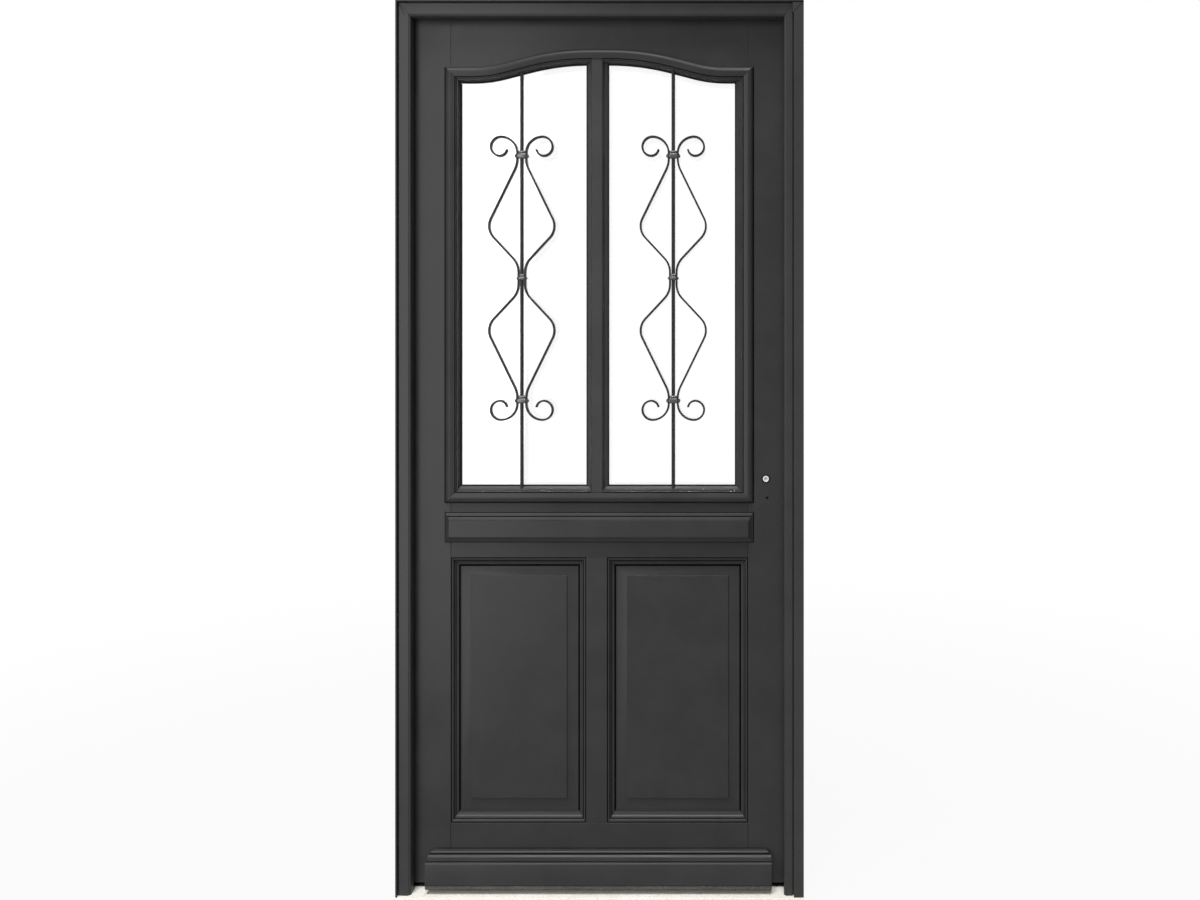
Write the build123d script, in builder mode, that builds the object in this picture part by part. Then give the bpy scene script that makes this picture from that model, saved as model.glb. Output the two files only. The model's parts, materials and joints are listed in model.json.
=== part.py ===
from build123d import *
from math import cos, radians, sin
import os

os.makedirs("parts", exist_ok=True)

# Glazed wooden entrance door seen from outside, millimetres.
# X runs along the door from the hinge side (-) to the lock side (+), Y from the outside (-) to the
# inside (+), Z up. The origin is on the underside of the threshold, below the middle of the opening,
# in the plane of the trim strips.

# Clear opening between the frame's stops
clear_width = 900
clear_height = 2119

# Frame
frame_depth = 100
face_setback = 8
face_hinge = 28
face_lock = 20.5
face_head = 31
arris_radius = 5
arris_step = 1.4
groove_width = 2.5
groove_depth = 5
strip_hinge = 3.5
strip_lock = 24
strip_head = 15.5
stop_depth = 36
seal_thickness = 3
seal_width = 7
seal_inset = 1
joint_gap = 0.3

# Threshold
sill_height = 20
sill_overhang = 5
sill_nose_radius = 2
bar_height = 7
bar_width = 12
bar_setback = 52
bar_nose = 3

# Leaf
leaf_overlap = 11
edge_gap = 6
leaf_thickness = 56
running_gap = 5
foot_gap = 6
lock_edge_slope = 2.5
stile_width = 98
bottom_rail_height = 145
lock_rail_bottom = 807
lock_rail_height = 148
muntin_width = 51
muntin_offset = -7

# Glazing
moulding_overlap = 13
glass_setback = 12
glass_thickness = 24
glass_play = 3
arch_rise = 44
arch_slope_angle = 14.5
arch_shoulder_radius = 283
arch_crown_radius = 620
arch_crown_flat = 50
top_rail_height = 124.5
mullion_width = 53
mullion_face = 24
mullion_offset = -5
mullion_proud = 5
mullion_lip = 4
mullion_step = 1
bead_thickness = 20
bead_width = 11
bead_step = 4

# Glazing moulding section: distance inward from its outer edge, and height above the leaf's face
moulding_fillet = 31
moulding_points = (
    (0, 1.5),
    (2.2, 5.8),
    (6, 9.4),
    (11, 11),
    (15, 11),
    (15, 9.5),
    (16.6, 5.4),
    (19.8, 2),
    (25, 0.2),
    (25.8, 1.6),
    (27.7, 1.6),
    (28.5, 0),
    (28.5, -1.5),
    (29.6, -1.5),
    (29.6, 0),
    (moulding_fillet, 0),
    (37.5, -5),
    (40, -6.5),
    (40, -glass_setback),
)

# Lower panels: margins at sides, head and foot of an opening, to the panel's bevel and to its field
bevel_margins = (22, 24.5, 28.5)
field_margins = (48, 46, 58)
panel_sink = 14
panel_step = 3
panel_field_sink = 7

# Sunk moulding section on a strip 22 wide: distance inward from the opening, and depth from the face
sunk_width = 22
sunk_points = (
    (0, 1.2),
    (1.8, 1.2),
    (1.8, 3.2),
    (3, 3.2),
    (3, 1.2),
    (5.8, 1.9),
    (8, 3.4),
    (9, 5.5),
    (9, 7.5),
    (10, 7.5),
    (11.2, 9.4),
    (13.6, 10.9),
    (17, 11.5),
    (17, 12.8),
    (18.5, 12.8),
    (18.5, 11.2),
    (21, 11.2),
    (sunk_width, panel_sink),
)

# Band on the lock rail: a plate with a quirk near its top, and a bevelled block on it
band_rise = 39
band_height = 72
band_plate = 4
band_thickness = 12
band_ledge = 8.5
band_quirk = 1.4
band_bevels = (10, 20, 12)
band_top_radius = 2.5

# Weatherboard section: how far each point stands out from the leaf, and its depth below the top
weather_margin_hinge = 34
weather_margin_lock = 30
weather_bottom = 12
weather_height = 84
weather_projection = 35
weather_corner = 17
weather_ridge_upper = ((3, 2.2), (8.6, 4.6), (11.6, 7.4))
weather_quirk_upper = ((11, 8.2), (10.6, 10.2))
weather_ridge_lower = ((12.4, 9.6), (22.4, 12), (28.6, 15))
weather_quirk_lower = ((28.4, 17.2), (31.2, 17.2), (32.6, 15.8))
weather_arris = 17.6
weather_strip = 10
weather_strip_setback = 3

# Lock
bore_radius = 10
bore_x = 407
bore_height = 999
bore_depth = 12
pilot_radius = 2.5
pilot_x = 410
pilot_drop = 46
case_height = 235
case_width = 80
case_thickness = 16
case_play = 0.5
plate_play = 0.5
case_rise = 60
faceplate_width = 20
faceplate_height = 1700
faceplate_thickness = 3
follower_ring_radius = 7.8
follower_hub_radius = 4.5
follower_length = 6
follower_hub_length = 7
follower_square = 7
strike_width = 24
strike_height = 220
strike_thickness = 3

# Hinges
barrel_radius = 7.5
barrel_length = 55
barrel_clearance = 1.5
barrel_gap = 1
pin_radius = 4
pin_play = 0.05
pin_rise = 40
pin_end_play = 2
flag_thickness = 3
flag_width_frame = 14
flag_width_leaf = 34
hinge_margin = 220

# Grille in front of each glass
bar_radius = 4
flat_thickness = 4
flat_depth = 11
bar_spread = 185.3
bar_inset = 4.5
grille_lift = 16
collar_height_end = 14
collar_height_middle = 10
collar_width_end = 35
collar_width_middle = 27
collar_depth = 13
belly_height = 128
scroll_offset = 11
waist_offset = 8
scroll_radii = (40, 25, 22, 18)
scroll_turn = 88
bar_sides = 8
neck_run = 14
neck_radius = 60
neck_angle = 26
belly_radius = 42
belly_reach = 79.8
tail_angle = 43
tail_radius = 50

# Derived places
half_clear = clear_width / 2
leaf_half = half_clear + leaf_overlap
rebate_half = leaf_half + edge_gap
rebate = leaf_overlap + edge_gap
leaf_front = stop_depth + seal_thickness + running_gap
leaf_back = frame_depth
leaf_bottom = sill_height + bar_height + foot_gap
head_soffit = sill_height + clear_height
leaf_top = head_soffit + leaf_overlap
hinge_jamb_width = face_hinge + groove_width + strip_hinge
lock_jamb_width = face_lock + groove_width + strip_lock
head_width = face_head + groove_width + strip_head
frame_left = -half_clear - hinge_jamb_width
frame_right = half_clear + lock_jamb_width
frame_top = head_soffit + head_width
stile_inner = leaf_half - stile_width
moulding_half = stile_inner + moulding_overlap
glazing_head = leaf_top - top_rail_height
lock_rail_base = sill_height + lock_rail_bottom
lock_rail_top = lock_rail_base + lock_rail_height
glazing_base = lock_rail_top - moulding_overlap
bottom_rail_top = leaf_bottom + bottom_rail_height
glass_front = leaf_front + glass_setback
glass_back = glass_front + glass_thickness
hinge_x = -leaf_half - edge_gap / 2
hinge_y = leaf_back + barrel_radius + barrel_clearance
panel_mid = (leaf_front + leaf_back) / 2
bore_z = sill_height + bore_height
pilot_z = bore_z - pilot_drop
case_front = leaf_front + bore_depth
case_centre_z = bore_z - case_rise
faceplate_y = case_front + case_thickness / 2
plate_x = leaf_half - lock_edge_slope - plate_play
hinge_heights = (
    leaf_bottom + hinge_margin,
    (leaf_bottom + leaf_top) / 2,
    leaf_top - hinge_margin,
)
grille_middle = (glazing_base + glazing_head) / 2 + grille_lift

# Straight run of the arch between its shoulder and crown arcs, and the knee where the shoulder starts
arch_radii = arch_shoulder_radius + arch_crown_radius
arch_sine = sin(radians(arch_slope_angle))
arch_cosine = cos(radians(arch_slope_angle))
arch_run = (arch_rise - arch_radii * (1 - arch_cosine)) / arch_sine
arch_knee = arch_crown_flat / 2 + arch_radii * arch_sine + arch_run * arch_cosine


def arch_path(inset, reach):
    """Camel-back line, inset below the moulding's outer edge, from side to side at x = reach."""
    height = glazing_head - inset
    start = Line((-reach, height), (-arch_knee, height))
    rise = JernArc(start @ 1, start % 1, arch_shoulder_radius + inset, arch_slope_angle)
    slope = PolarLine(rise @ 1, arch_run, angle=arch_slope_angle)
    crown = JernArc(slope @ 1, slope % 1, arch_crown_radius - inset, -arch_slope_angle)
    flat = Line(crown @ 1, crown @ 1 + (arch_crown_flat, 0))
    crown_right = JernArc(flat @ 1, flat % 1, arch_crown_radius - inset, -arch_slope_angle)
    slope_right = PolarLine(crown_right @ 1, arch_run, angle=-arch_slope_angle)
    fall = JernArc(slope_right @ 1, slope_right % 1, arch_shoulder_radius + inset, arch_slope_angle)
    Line(fall @ 1, (reach, height))


def frame_section(face_width, side_width):
    """Frame section: local x out from the stop's edge, local y from outside to inside."""
    trim_inset = face_width + groove_width
    arris_top = face_setback + arris_step
    with BuildLine() as outline:
        Line((0, arris_top + arris_radius), (0, stop_depth))
        Line((0, stop_depth), (rebate, stop_depth))
        Line((rebate, stop_depth), (rebate, frame_depth))
        Line((rebate, frame_depth), (side_width, frame_depth))
        Line((side_width, frame_depth), (side_width, face_setback))
        Line((side_width, face_setback), (trim_inset, face_setback))
        Line((trim_inset, face_setback), (trim_inset, face_setback + groove_depth))
        Line((trim_inset, face_setback + groove_depth), (face_width, face_setback + groove_depth))
        Line((face_width, face_setback + groove_depth), (face_width, face_setback))
        Line((face_width, face_setback), (arris_radius, face_setback))
        Line((arris_radius, face_setback), (arris_radius, arris_top))
        RadiusArc((arris_radius, arris_top), (0, arris_top + arris_radius), arris_radius)
    make_face(outline.edges())


def moulding_section():
    """Glazing moulding: local x inward from its outer edge, local y from the leaf's face inwards."""
    with BuildLine() as outline:
        Polyline(
            (0, 0),
            *[(inward, -height) for inward, height in moulding_points],
            (moulding_overlap, glass_setback),
            (moulding_overlap, 0),
            (0, 0),
        )
    make_face(outline.edges())


def sunk_section(width):
    """Sunk moulding of a panel: local x inward from the opening, local y from the face inwards."""
    with BuildLine() as outline:
        Polyline(
            *[(inward * width / sunk_width, depth) for inward, depth in sunk_points],
            (0, panel_sink),
            sunk_points[0],
        )
    make_face(outline.edges())


# Mitre planes of the frame, from the corners of the opening to those of the faces
mitre_left = Plane(origin=(-half_clear, 0, head_soffit), z_dir=(-face_head, 0, -face_hinge))
mitre_right = Plane(origin=(half_clear, 0, head_soffit), z_dir=(face_head, 0, -face_lock))

# Frame

with BuildPart() as threshold:
    with BuildSketch(Plane.YZ.offset(frame_left)):
        with BuildLine():
            Polyline(
                (-sill_overhang, 0),
                (frame_depth, 0),
                (frame_depth, sill_height),
                (-sill_overhang, sill_height),
                (-sill_overhang, 0),
            )
        make_face()
    extrude(amount=frame_right - frame_left)
    fillet(
        threshold.edges().filter_by(Axis.X).group_by(Axis.Z)[-1].sort_by(Axis.Y)[0], sill_nose_radius
    )
threshold.part.label = "threshold"
export_step(threshold.part, "parts/threshold.step")

with BuildPart() as threshold_bar:
    with BuildSketch(Plane.YZ.offset(-rebate_half + 1)):
        with BuildLine():
            Polyline(
                (bar_setback, sill_height),
                (bar_setback + bar_width, sill_height),
                (bar_setback + bar_width, sill_height + bar_height),
                (bar_setback + bar_nose, sill_height + bar_height),
                (bar_setback, sill_height + bar_height - bar_nose),
                (bar_setback, sill_height),
            )
        make_face()
    extrude(amount=2 * rebate_half - 2)
threshold_bar.part.label = "threshold_bar"
export_step(threshold_bar.part, "parts/threshold_bar.step")

with BuildPart() as hinge_jamb:
    with BuildSketch(Plane(origin=(-half_clear, 0, sill_height), x_dir=(-1, 0, 0), z_dir=(0, 0, -1))):
        frame_section(face_hinge, hinge_jamb_width)
    extrude(amount=-(frame_top - sill_height))
    split(bisect_by=mitre_left, keep=Keep.TOP)
hinge_jamb.part.label = "hinge_jamb"
export_step(hinge_jamb.part, "parts/hinge_jamb.step")

with BuildPart() as lock_jamb:
    with BuildSketch(Plane(origin=(half_clear, 0, sill_height), x_dir=(1, 0, 0), z_dir=(0, 0, 1))):
        frame_section(face_lock, lock_jamb_width)
    extrude(amount=frame_top - sill_height)
    split(bisect_by=mitre_right, keep=Keep.TOP)
    with BuildSketch(Plane.XY.offset(case_centre_z - strike_height / 2)):
        with Locations((rebate_half + strike_thickness / 2, faceplate_y)):
            Rectangle(strike_thickness, strike_width)
    extrude(amount=strike_height, mode=Mode.SUBTRACT)
lock_jamb.part.label = "lock_jamb"
export_step(lock_jamb.part, "parts/lock_jamb.step")

with BuildPart() as frame_head:
    with BuildSketch(Plane(origin=(frame_left, 0, head_soffit), x_dir=(0, 0, 1), z_dir=(-1, 0, 0))):
        frame_section(face_head, head_width)
    extrude(amount=frame_left - frame_right)
    split(bisect_by=mitre_left, keep=Keep.BOTTOM)
    split(bisect_by=mitre_right, keep=Keep.BOTTOM)
frame_head.part.label = "frame_head"
export_step(frame_head.part, "parts/frame_head.step")

with BuildPart() as trim_strip_hinge:
    with BuildSketch(Plane.XY.offset(sill_height)):
        with Locations((frame_left, 0)):
            Rectangle(strip_hinge, face_setback, align=(Align.MIN, Align.MIN))
    extrude(amount=frame_top - sill_height)
    split(bisect_by=mitre_left, keep=Keep.TOP)
trim_strip_hinge.part.label = "trim_strip_hinge"
export_step(trim_strip_hinge.part, "parts/trim_strip_hinge.step")

with BuildPart() as trim_strip_lock:
    with BuildSketch(Plane.XY.offset(sill_height)):
        with Locations((frame_right, 0)):
            Rectangle(strip_lock, face_setback, align=(Align.MAX, Align.MIN))
    extrude(amount=frame_top - sill_height)
    split(bisect_by=mitre_right, keep=Keep.TOP)
trim_strip_lock.part.label = "trim_strip_lock"
export_step(trim_strip_lock.part, "parts/trim_strip_lock.step")

with BuildPart() as trim_strip_head:
    with BuildSketch(Plane.YZ.offset(frame_left)):
        with Locations((0, frame_top)):
            Rectangle(face_setback, strip_head, align=(Align.MIN, Align.MAX))
    extrude(amount=frame_right - frame_left)
    split(bisect_by=mitre_left, keep=Keep.BOTTOM)
    split(bisect_by=mitre_right, keep=Keep.BOTTOM)
trim_strip_head.part.label = "trim_strip_head"
export_step(trim_strip_head.part, "parts/trim_strip_head.step")

with BuildPart() as frame_seal:
    seal_inner = half_clear + seal_inset
    with BuildSketch(Plane.XZ.offset(-stop_depth)):
        with Locations((-seal_inner - seal_width / 2, sill_height), (seal_inner + seal_width / 2, sill_height)):
            Rectangle(
                seal_width, clear_height + seal_inset - joint_gap, align=(Align.CENTER, Align.MIN)
            )
        with Locations((0, head_soffit + seal_inset)):
            Rectangle(2 * (seal_inner + seal_width), seal_width, align=(Align.CENTER, Align.MIN))
    extrude(amount=-seal_thickness)
frame_seal.part.label = "frame_seal"
export_step(frame_seal.part, "parts/frame_seal.step")

# Leaf

with BuildPart() as hinge_stile:
    with BuildSketch(Plane.XY.offset(leaf_bottom)):
        with Locations((-leaf_half, leaf_front)):
            Rectangle(stile_width, leaf_thickness, align=Align.MIN)
    extrude(amount=leaf_top - leaf_bottom)
hinge_stile.part.label = "hinge_stile"
export_step(hinge_stile.part, "parts/hinge_stile.step")

with BuildPart() as lock_stile:
    with BuildSketch(Plane.XY.offset(leaf_bottom)):
        with BuildLine():
            Polyline(
                (stile_inner, leaf_front),
                (leaf_half - lock_edge_slope, leaf_front),
                (leaf_half, leaf_back),
                (stile_inner, leaf_back),
                (stile_inner, leaf_front),
            )
        make_face()
    extrude(amount=leaf_top - leaf_bottom)
    with BuildSketch(Plane.XZ.offset(-leaf_front)):
        with Locations((bore_x, bore_z)):
            Circle(bore_radius)
        with Locations((pilot_x, pilot_z)):
            Circle(pilot_radius)
    extrude(amount=-bore_depth, mode=Mode.SUBTRACT)
    with BuildSketch(Plane.XY.offset(case_centre_z - case_height / 2 - case_play)):
        with Locations((leaf_half, case_front)):
            Rectangle(
                leaf_half - plate_x + faceplate_thickness + case_width + case_play,
                case_thickness + case_play,
                align=(Align.MAX, Align.MIN),
            )
    extrude(amount=case_height + 2 * case_play, mode=Mode.SUBTRACT)
    with BuildSketch(Plane.XY.offset(case_centre_z - faceplate_height / 2)):
        with Locations((plate_x - faceplate_thickness, faceplate_y)):
            Rectangle(2 * faceplate_thickness, faceplate_width, align=(Align.MIN, Align.CENTER))
    extrude(amount=faceplate_height, mode=Mode.SUBTRACT)
lock_stile.part.label = "lock_stile"
export_step(lock_stile.part, "parts/lock_stile.step")

with BuildPart() as top_rail:
    with BuildSketch(Plane.XZ.offset(-leaf_front)):
        with BuildLine() as outline:
            arch_path(moulding_overlap, stile_inner)
            Polyline(
                (stile_inner, glazing_head - moulding_overlap),
                (stile_inner, leaf_top),
                (-stile_inner, leaf_top),
                (-stile_inner, glazing_head - moulding_overlap),
            )
        make_face()
    extrude(amount=-leaf_thickness)
top_rail.part.label = "top_rail"
export_step(top_rail.part, "parts/top_rail.step")

with BuildPart() as lock_rail:
    with BuildSketch(Plane.XZ.offset(-leaf_front)):
        with Locations((0, lock_rail_base)):
            Rectangle(2 * stile_inner, lock_rail_height, align=(Align.CENTER, Align.MIN))
    extrude(amount=-leaf_thickness)
lock_rail.part.label = "lock_rail"
export_step(lock_rail.part, "parts/lock_rail.step")

with BuildPart() as bottom_rail:
    with BuildSketch(Plane.XZ.offset(-leaf_front)):
        with Locations((0, leaf_bottom)):
            Rectangle(2 * stile_inner, bottom_rail_height, align=(Align.CENTER, Align.MIN))
    extrude(amount=-leaf_thickness)
bottom_rail.part.label = "bottom_rail"
export_step(bottom_rail.part, "parts/bottom_rail.step")

with BuildPart() as lower_muntin:
    with BuildSketch(Plane.XZ.offset(-leaf_front)):
        with Locations((muntin_offset, bottom_rail_top)):
            Rectangle(
                muntin_width, lock_rail_base - bottom_rail_top, align=(Align.CENTER, Align.MIN)
            )
    extrude(amount=-leaf_thickness)
lower_muntin.part.label = "lower_muntin"
export_step(lower_muntin.part, "parts/lower_muntin.step")

# Glazing mouldings, mitred at the four corners

corner_top_left = Plane(origin=(-moulding_half, leaf_front, glazing_head), z_dir=(1, 0, 1))
corner_top_right = Plane(origin=(moulding_half, leaf_front, glazing_head), z_dir=(-1, 0, 1))
corner_bottom_left = Plane(origin=(-moulding_half, leaf_front, glazing_base), z_dir=(-1, 0, 1))
corner_bottom_right = Plane(origin=(moulding_half, leaf_front, glazing_base), z_dir=(1, 0, 1))

with BuildPart() as moulding_top:
    with BuildLine(Plane.XZ.offset(-leaf_front)) as moulding_arch:
        arch_path(0, moulding_half)
    with BuildSketch(
        Plane(origin=(-moulding_half, leaf_front, glazing_head), x_dir=(0, 0, -1), z_dir=(1, 0, 0))
    ):
        moulding_section()
    sweep(path=moulding_arch.wires()[0])
    split(bisect_by=corner_top_left, keep=Keep.TOP)
    split(bisect_by=corner_top_right, keep=Keep.TOP)
moulding_top.part.label = "moulding_top"
export_step(moulding_top.part, "parts/moulding_top.step")

with BuildPart() as moulding_left:
    with BuildSketch(
        Plane(origin=(-moulding_half, leaf_front, glazing_base), x_dir=(1, 0, 0), z_dir=(0, 0, 1))
    ):
        moulding_section()
    extrude(amount=glazing_head - glazing_base)
    split(bisect_by=corner_top_left, keep=Keep.BOTTOM)
    split(bisect_by=corner_bottom_left, keep=Keep.TOP)
moulding_left.part.label = "moulding_left"
export_step(moulding_left.part, "parts/moulding_left.step")

with BuildPart() as moulding_right:
    with BuildSketch(
        Plane(origin=(moulding_half, leaf_front, glazing_base), x_dir=(-1, 0, 0), z_dir=(0, 0, -1))
    ):
        moulding_section()
    extrude(amount=glazing_base - glazing_head)
    split(bisect_by=corner_top_right, keep=Keep.BOTTOM)
    split(bisect_by=corner_bottom_right, keep=Keep.TOP)
moulding_right.part.label = "moulding_right"
export_step(moulding_right.part, "parts/moulding_right.step")

with BuildPart() as moulding_bottom:
    with BuildSketch(
        Plane(origin=(moulding_half, leaf_front, glazing_base), x_dir=(0, 0, 1), z_dir=(-1, 0, 0))
    ):
        moulding_section()
    extrude(amount=2 * moulding_half)
    split(bisect_by=corner_bottom_left, keep=Keep.BOTTOM)
    split(bisect_by=corner_bottom_right, keep=Keep.BOTTOM)
moulding_bottom.part.label = "moulding_bottom"
export_step(moulding_bottom.part, "parts/moulding_bottom.step")

# Glass held between the outside mouldings and the inside beads


def glazed_region(inset):
    """Glazed area under the arch, inset from the mouldings' outer edge."""
    reach = moulding_half - inset
    with BuildLine() as outline:
        arch_path(inset, reach)
        Polyline(
            (reach, glazing_head - inset),
            (reach, glazing_base + inset),
            (-reach, glazing_base + inset),
            (-reach, glazing_head - inset),
        )
    make_face(outline.edges())


with BuildPart() as glazing_bead:
    with BuildSketch(Plane.XZ.offset(-glass_back)):
        glazed_region(moulding_overlap)
    extrude(amount=-bead_thickness)
    with BuildSketch(Plane.XZ.offset(-glass_back)):
        glazed_region(moulding_overlap + bead_width)
    extrude(amount=-bead_thickness, mode=Mode.SUBTRACT)
    with BuildSketch(Plane.XZ.offset(-glass_back)):
        for side in (-1, 1):
            for height, turn in (
                (glazing_head - moulding_overlap - bead_width / 2, 1),
                (lock_rail_top + bead_width / 2, -1),
            ):
                with Locations((side * (stile_inner - bead_width / 2), height)):
                    Rectangle(2 * bead_width, joint_gap, rotation=45 * side * turn)
    extrude(amount=-bead_thickness, mode=Mode.SUBTRACT)
glazing_bead.part.label = "glazing_bead"
export_step(glazing_bead.part, "parts/glazing_bead.step")

core_half = mullion_face / 2
glass_inner = core_half + glass_play
opening_height = leaf_top - lock_rail_base

with BuildPart() as glass_left:
    with BuildSketch(Plane.XZ.offset(-glass_front)):
        glazed_region(moulding_overlap + glass_play)
        with Locations((mullion_offset - glass_inner, lock_rail_base)):
            Rectangle(
                2 * moulding_half, opening_height, align=(Align.MAX, Align.MIN), mode=Mode.INTERSECT
            )
    extrude(amount=-glass_thickness)
glass_left.part.label = "glass_left"
export_step(glass_left.part, "parts/glass_left.step")

with BuildPart() as glass_right:
    with BuildSketch(Plane.XZ.offset(-glass_front)):
        glazed_region(moulding_overlap + glass_play)
        with Locations((mullion_offset + glass_inner, lock_rail_base)):
            Rectangle(
                2 * moulding_half, opening_height, align=(Align.MIN, Align.MIN), mode=Mode.INTERSECT
            )
    extrude(amount=-glass_thickness)
glass_right.part.label = "glass_right"
export_step(glass_right.part, "parts/glass_right.step")

mullion_lip_half = mullion_width / 2
mullion_front = leaf_front - mullion_proud

with BuildPart() as mullion:
    with BuildSketch(Plane.XY.offset(lock_rail_top)):
        with BuildLine():
            outline = Polyline(
                (mullion_offset, mullion_front),
                (mullion_offset + mullion_face / 2, mullion_front),
                (mullion_offset + mullion_lip_half - 2 * mullion_lip, leaf_front + mullion_step),
                (mullion_offset + mullion_lip_half - 2 * mullion_lip, leaf_front + mullion_lip),
                (mullion_offset + mullion_lip_half - mullion_lip, leaf_front + mullion_lip),
                (mullion_offset + mullion_lip_half, glass_front - mullion_step),
                (mullion_offset + mullion_lip_half, glass_front),
                (mullion_offset + core_half, glass_front),
                (mullion_offset + core_half, glass_back),
                (mullion_offset + core_half + bead_width, glass_back),
                (mullion_offset + core_half + bead_width, glass_back + bead_step),
                (mullion_offset + core_half, leaf_back),
                (mullion_offset, leaf_back),
            )
            mirror(outline, about=Plane.YZ.offset(mullion_offset))
        make_face()
    extrude(amount=glazing_head + arch_rise - moulding_overlap / 2 - lock_rail_top)
    add(top_rail.part, mode=Mode.SUBTRACT)
    add(moulding_top.part, mode=Mode.SUBTRACT)
    add(moulding_bottom.part, mode=Mode.SUBTRACT)
    add(glazing_bead.part, mode=Mode.SUBTRACT)
mullion.part.label = "mullion"
export_step(mullion.part, "parts/mullion.step")

# Lower panels: each opening holds a raised panel between mitred mouldings, outside and inside

opening_base = bottom_rail_top
opening_top = lock_rail_base
opening_middle = (opening_base + opening_top) / 2
left_opening = (-stile_inner, muntin_offset - muntin_width / 2)
right_opening = (muntin_offset + muntin_width / 2, stile_inner)


def panel_rectangle(opening, margins):
    """Rectangle in a panel opening, less its margins at the sides, head and foot."""
    side, head, foot = margins
    with Locations(((opening[0] + opening[1]) / 2, opening_base + foot)):
        Rectangle(
            opening[1] - opening[0] - 2 * side,
            opening_top - opening_base - head - foot,
            align=(Align.CENTER, Align.MIN),
        )


def raised_panel(opening):
    """Panel with a bevel round a raised field, alike on both faces."""
    with BuildSketch(Plane.XZ.offset(-panel_mid)) as board:
        panel_rectangle(opening, (0, 0, 0))
    extrude(board.sketch, amount=leaf_thickness / 2 - panel_sink, both=True)
    with BuildSketch(Plane.XZ.offset(-panel_mid)) as field:
        panel_rectangle(opening, field_margins)
    extrude(field.sketch, amount=leaf_thickness / 2 - panel_field_sink, both=True)
    for side in (-1, 1):
        base = -panel_mid + side * (leaf_thickness / 2 - panel_sink)
        crest = -panel_mid + side * (leaf_thickness / 2 - panel_field_sink - panel_step)
        with BuildSketch(Plane.XZ.offset(base)) as foot:
            panel_rectangle(opening, bevel_margins)
        with BuildSketch(Plane.XZ.offset(crest)) as head:
            panel_rectangle(opening, field_margins)
        loft([foot.sketch.face(), head.sketch.face()])


def panel_ring(opening, face, side):
    """Four mitred strips in a panel opening, on the face at y = face; side is 1 outside, -1 inside."""
    margin_side, margin_head, margin_foot = bevel_margins
    corners = (
        (Vector(opening[0], face, opening_base), Vector(margin_side, 0, margin_foot)),
        (Vector(opening[1], face, opening_base), Vector(-margin_side, 0, margin_foot)),
        (Vector(opening[1], face, opening_top), Vector(-margin_side, 0, -margin_head)),
        (Vector(opening[0], face, opening_top), Vector(margin_side, 0, -margin_head)),
    )
    for number, width in enumerate((margin_foot, margin_side, margin_head, margin_side)):
        start, start_mitre = corners[number]
        end, end_mitre = corners[(number + 1) % 4]
        along = (end - start).normalized()
        inward = along.cross(Vector(0, 1, 0))
        gap = along * (joint_gap / 2)
        with BuildPart() as strip:
            with BuildSketch(Plane(origin=start, x_dir=inward, z_dir=along * -side)) as section:
                sunk_section(width)
            extrude(section.sketch, amount=-side * (end - start).length)
            trapezoid = (
                start + gap,
                end - gap,
                end + end_mitre - gap,
                start + start_mitre + gap,
            )
            with BuildSketch(Plane.XZ.offset(-face)) as outline:
                Polygon(*[(point.X, point.Z) for point in trapezoid], align=None)
            extrude(outline.sketch, amount=-side * panel_sink, mode=Mode.INTERSECT)
        add(strip.part)


with BuildPart() as panel_left:
    raised_panel(left_opening)
panel_left.part.label = "panel_left"
export_step(panel_left.part, "parts/panel_left.step")

with BuildPart() as panel_right:
    raised_panel(right_opening)
panel_right.part.label = "panel_right"
export_step(panel_right.part, "parts/panel_right.step")

with BuildPart() as panel_moulding_left:
    panel_ring(left_opening, leaf_front, 1)
panel_moulding_left.part.label = "panel_moulding_left"
export_step(panel_moulding_left.part, "parts/panel_moulding_left.step")

with BuildPart() as panel_moulding_right:
    panel_ring(right_opening, leaf_front, 1)
panel_moulding_right.part.label = "panel_moulding_right"
export_step(panel_moulding_right.part, "parts/panel_moulding_right.step")

with BuildPart() as inner_moulding_left:
    panel_ring(left_opening, leaf_back, -1)
inner_moulding_left.part.label = "inner_moulding_left"
export_step(inner_moulding_left.part, "parts/inner_moulding_left.step")

with BuildPart() as inner_moulding_right:
    panel_ring(right_opening, leaf_back, -1)
inner_moulding_right.part.label = "inner_moulding_right"
export_step(inner_moulding_right.part, "parts/inner_moulding_right.step")

# Band with bevelled edges on the lock rail

with BuildPart() as rail_band:
    bevel_side, bevel_top, bevel_bottom = band_bevels
    band_base = lock_rail_base + band_rise
    with BuildSketch(Plane.YZ.offset(-moulding_half)):
        with Locations((leaf_front, band_base)):
            Rectangle(band_plate, band_height, align=(Align.MAX, Align.MIN))
    extrude(amount=2 * moulding_half)
    fillet(
        rail_band.edges().filter_by(Axis.X).group_by(Axis.Z)[-1].sort_by(Axis.Y)[0], band_top_radius
    )
    with BuildSketch(Plane.XZ.offset(band_plate - leaf_front)) as band_foot:
        with Locations((0, band_base)):
            Rectangle(2 * moulding_half, band_height - band_ledge, align=(Align.CENTER, Align.MIN))
    with BuildSketch(Plane.XZ.offset(band_thickness - leaf_front)) as band_crest:
        with Locations((0, band_base + bevel_bottom)):
            Rectangle(
                2 * (moulding_half - bevel_side),
                band_height - bevel_top - bevel_bottom,
                align=(Align.CENTER, Align.MIN),
            )
    loft([band_foot.sketch.face(), band_crest.sketch.face()])
    with BuildSketch(Plane.YZ.offset(-moulding_half)) as quirk:
        with Locations((leaf_front - band_plate, band_base + band_height - band_ledge)):
            Rectangle(2 * band_quirk, band_quirk, align=(Align.CENTER, Align.MIN))
    extrude(quirk.sketch, amount=2 * moulding_half, mode=Mode.SUBTRACT)
rail_band.part.label = "rail_band"
export_step(rail_band.part, "parts/rail_band.step")

# Weatherboard: two ridges above a plain face, with its top corners rounded

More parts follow.
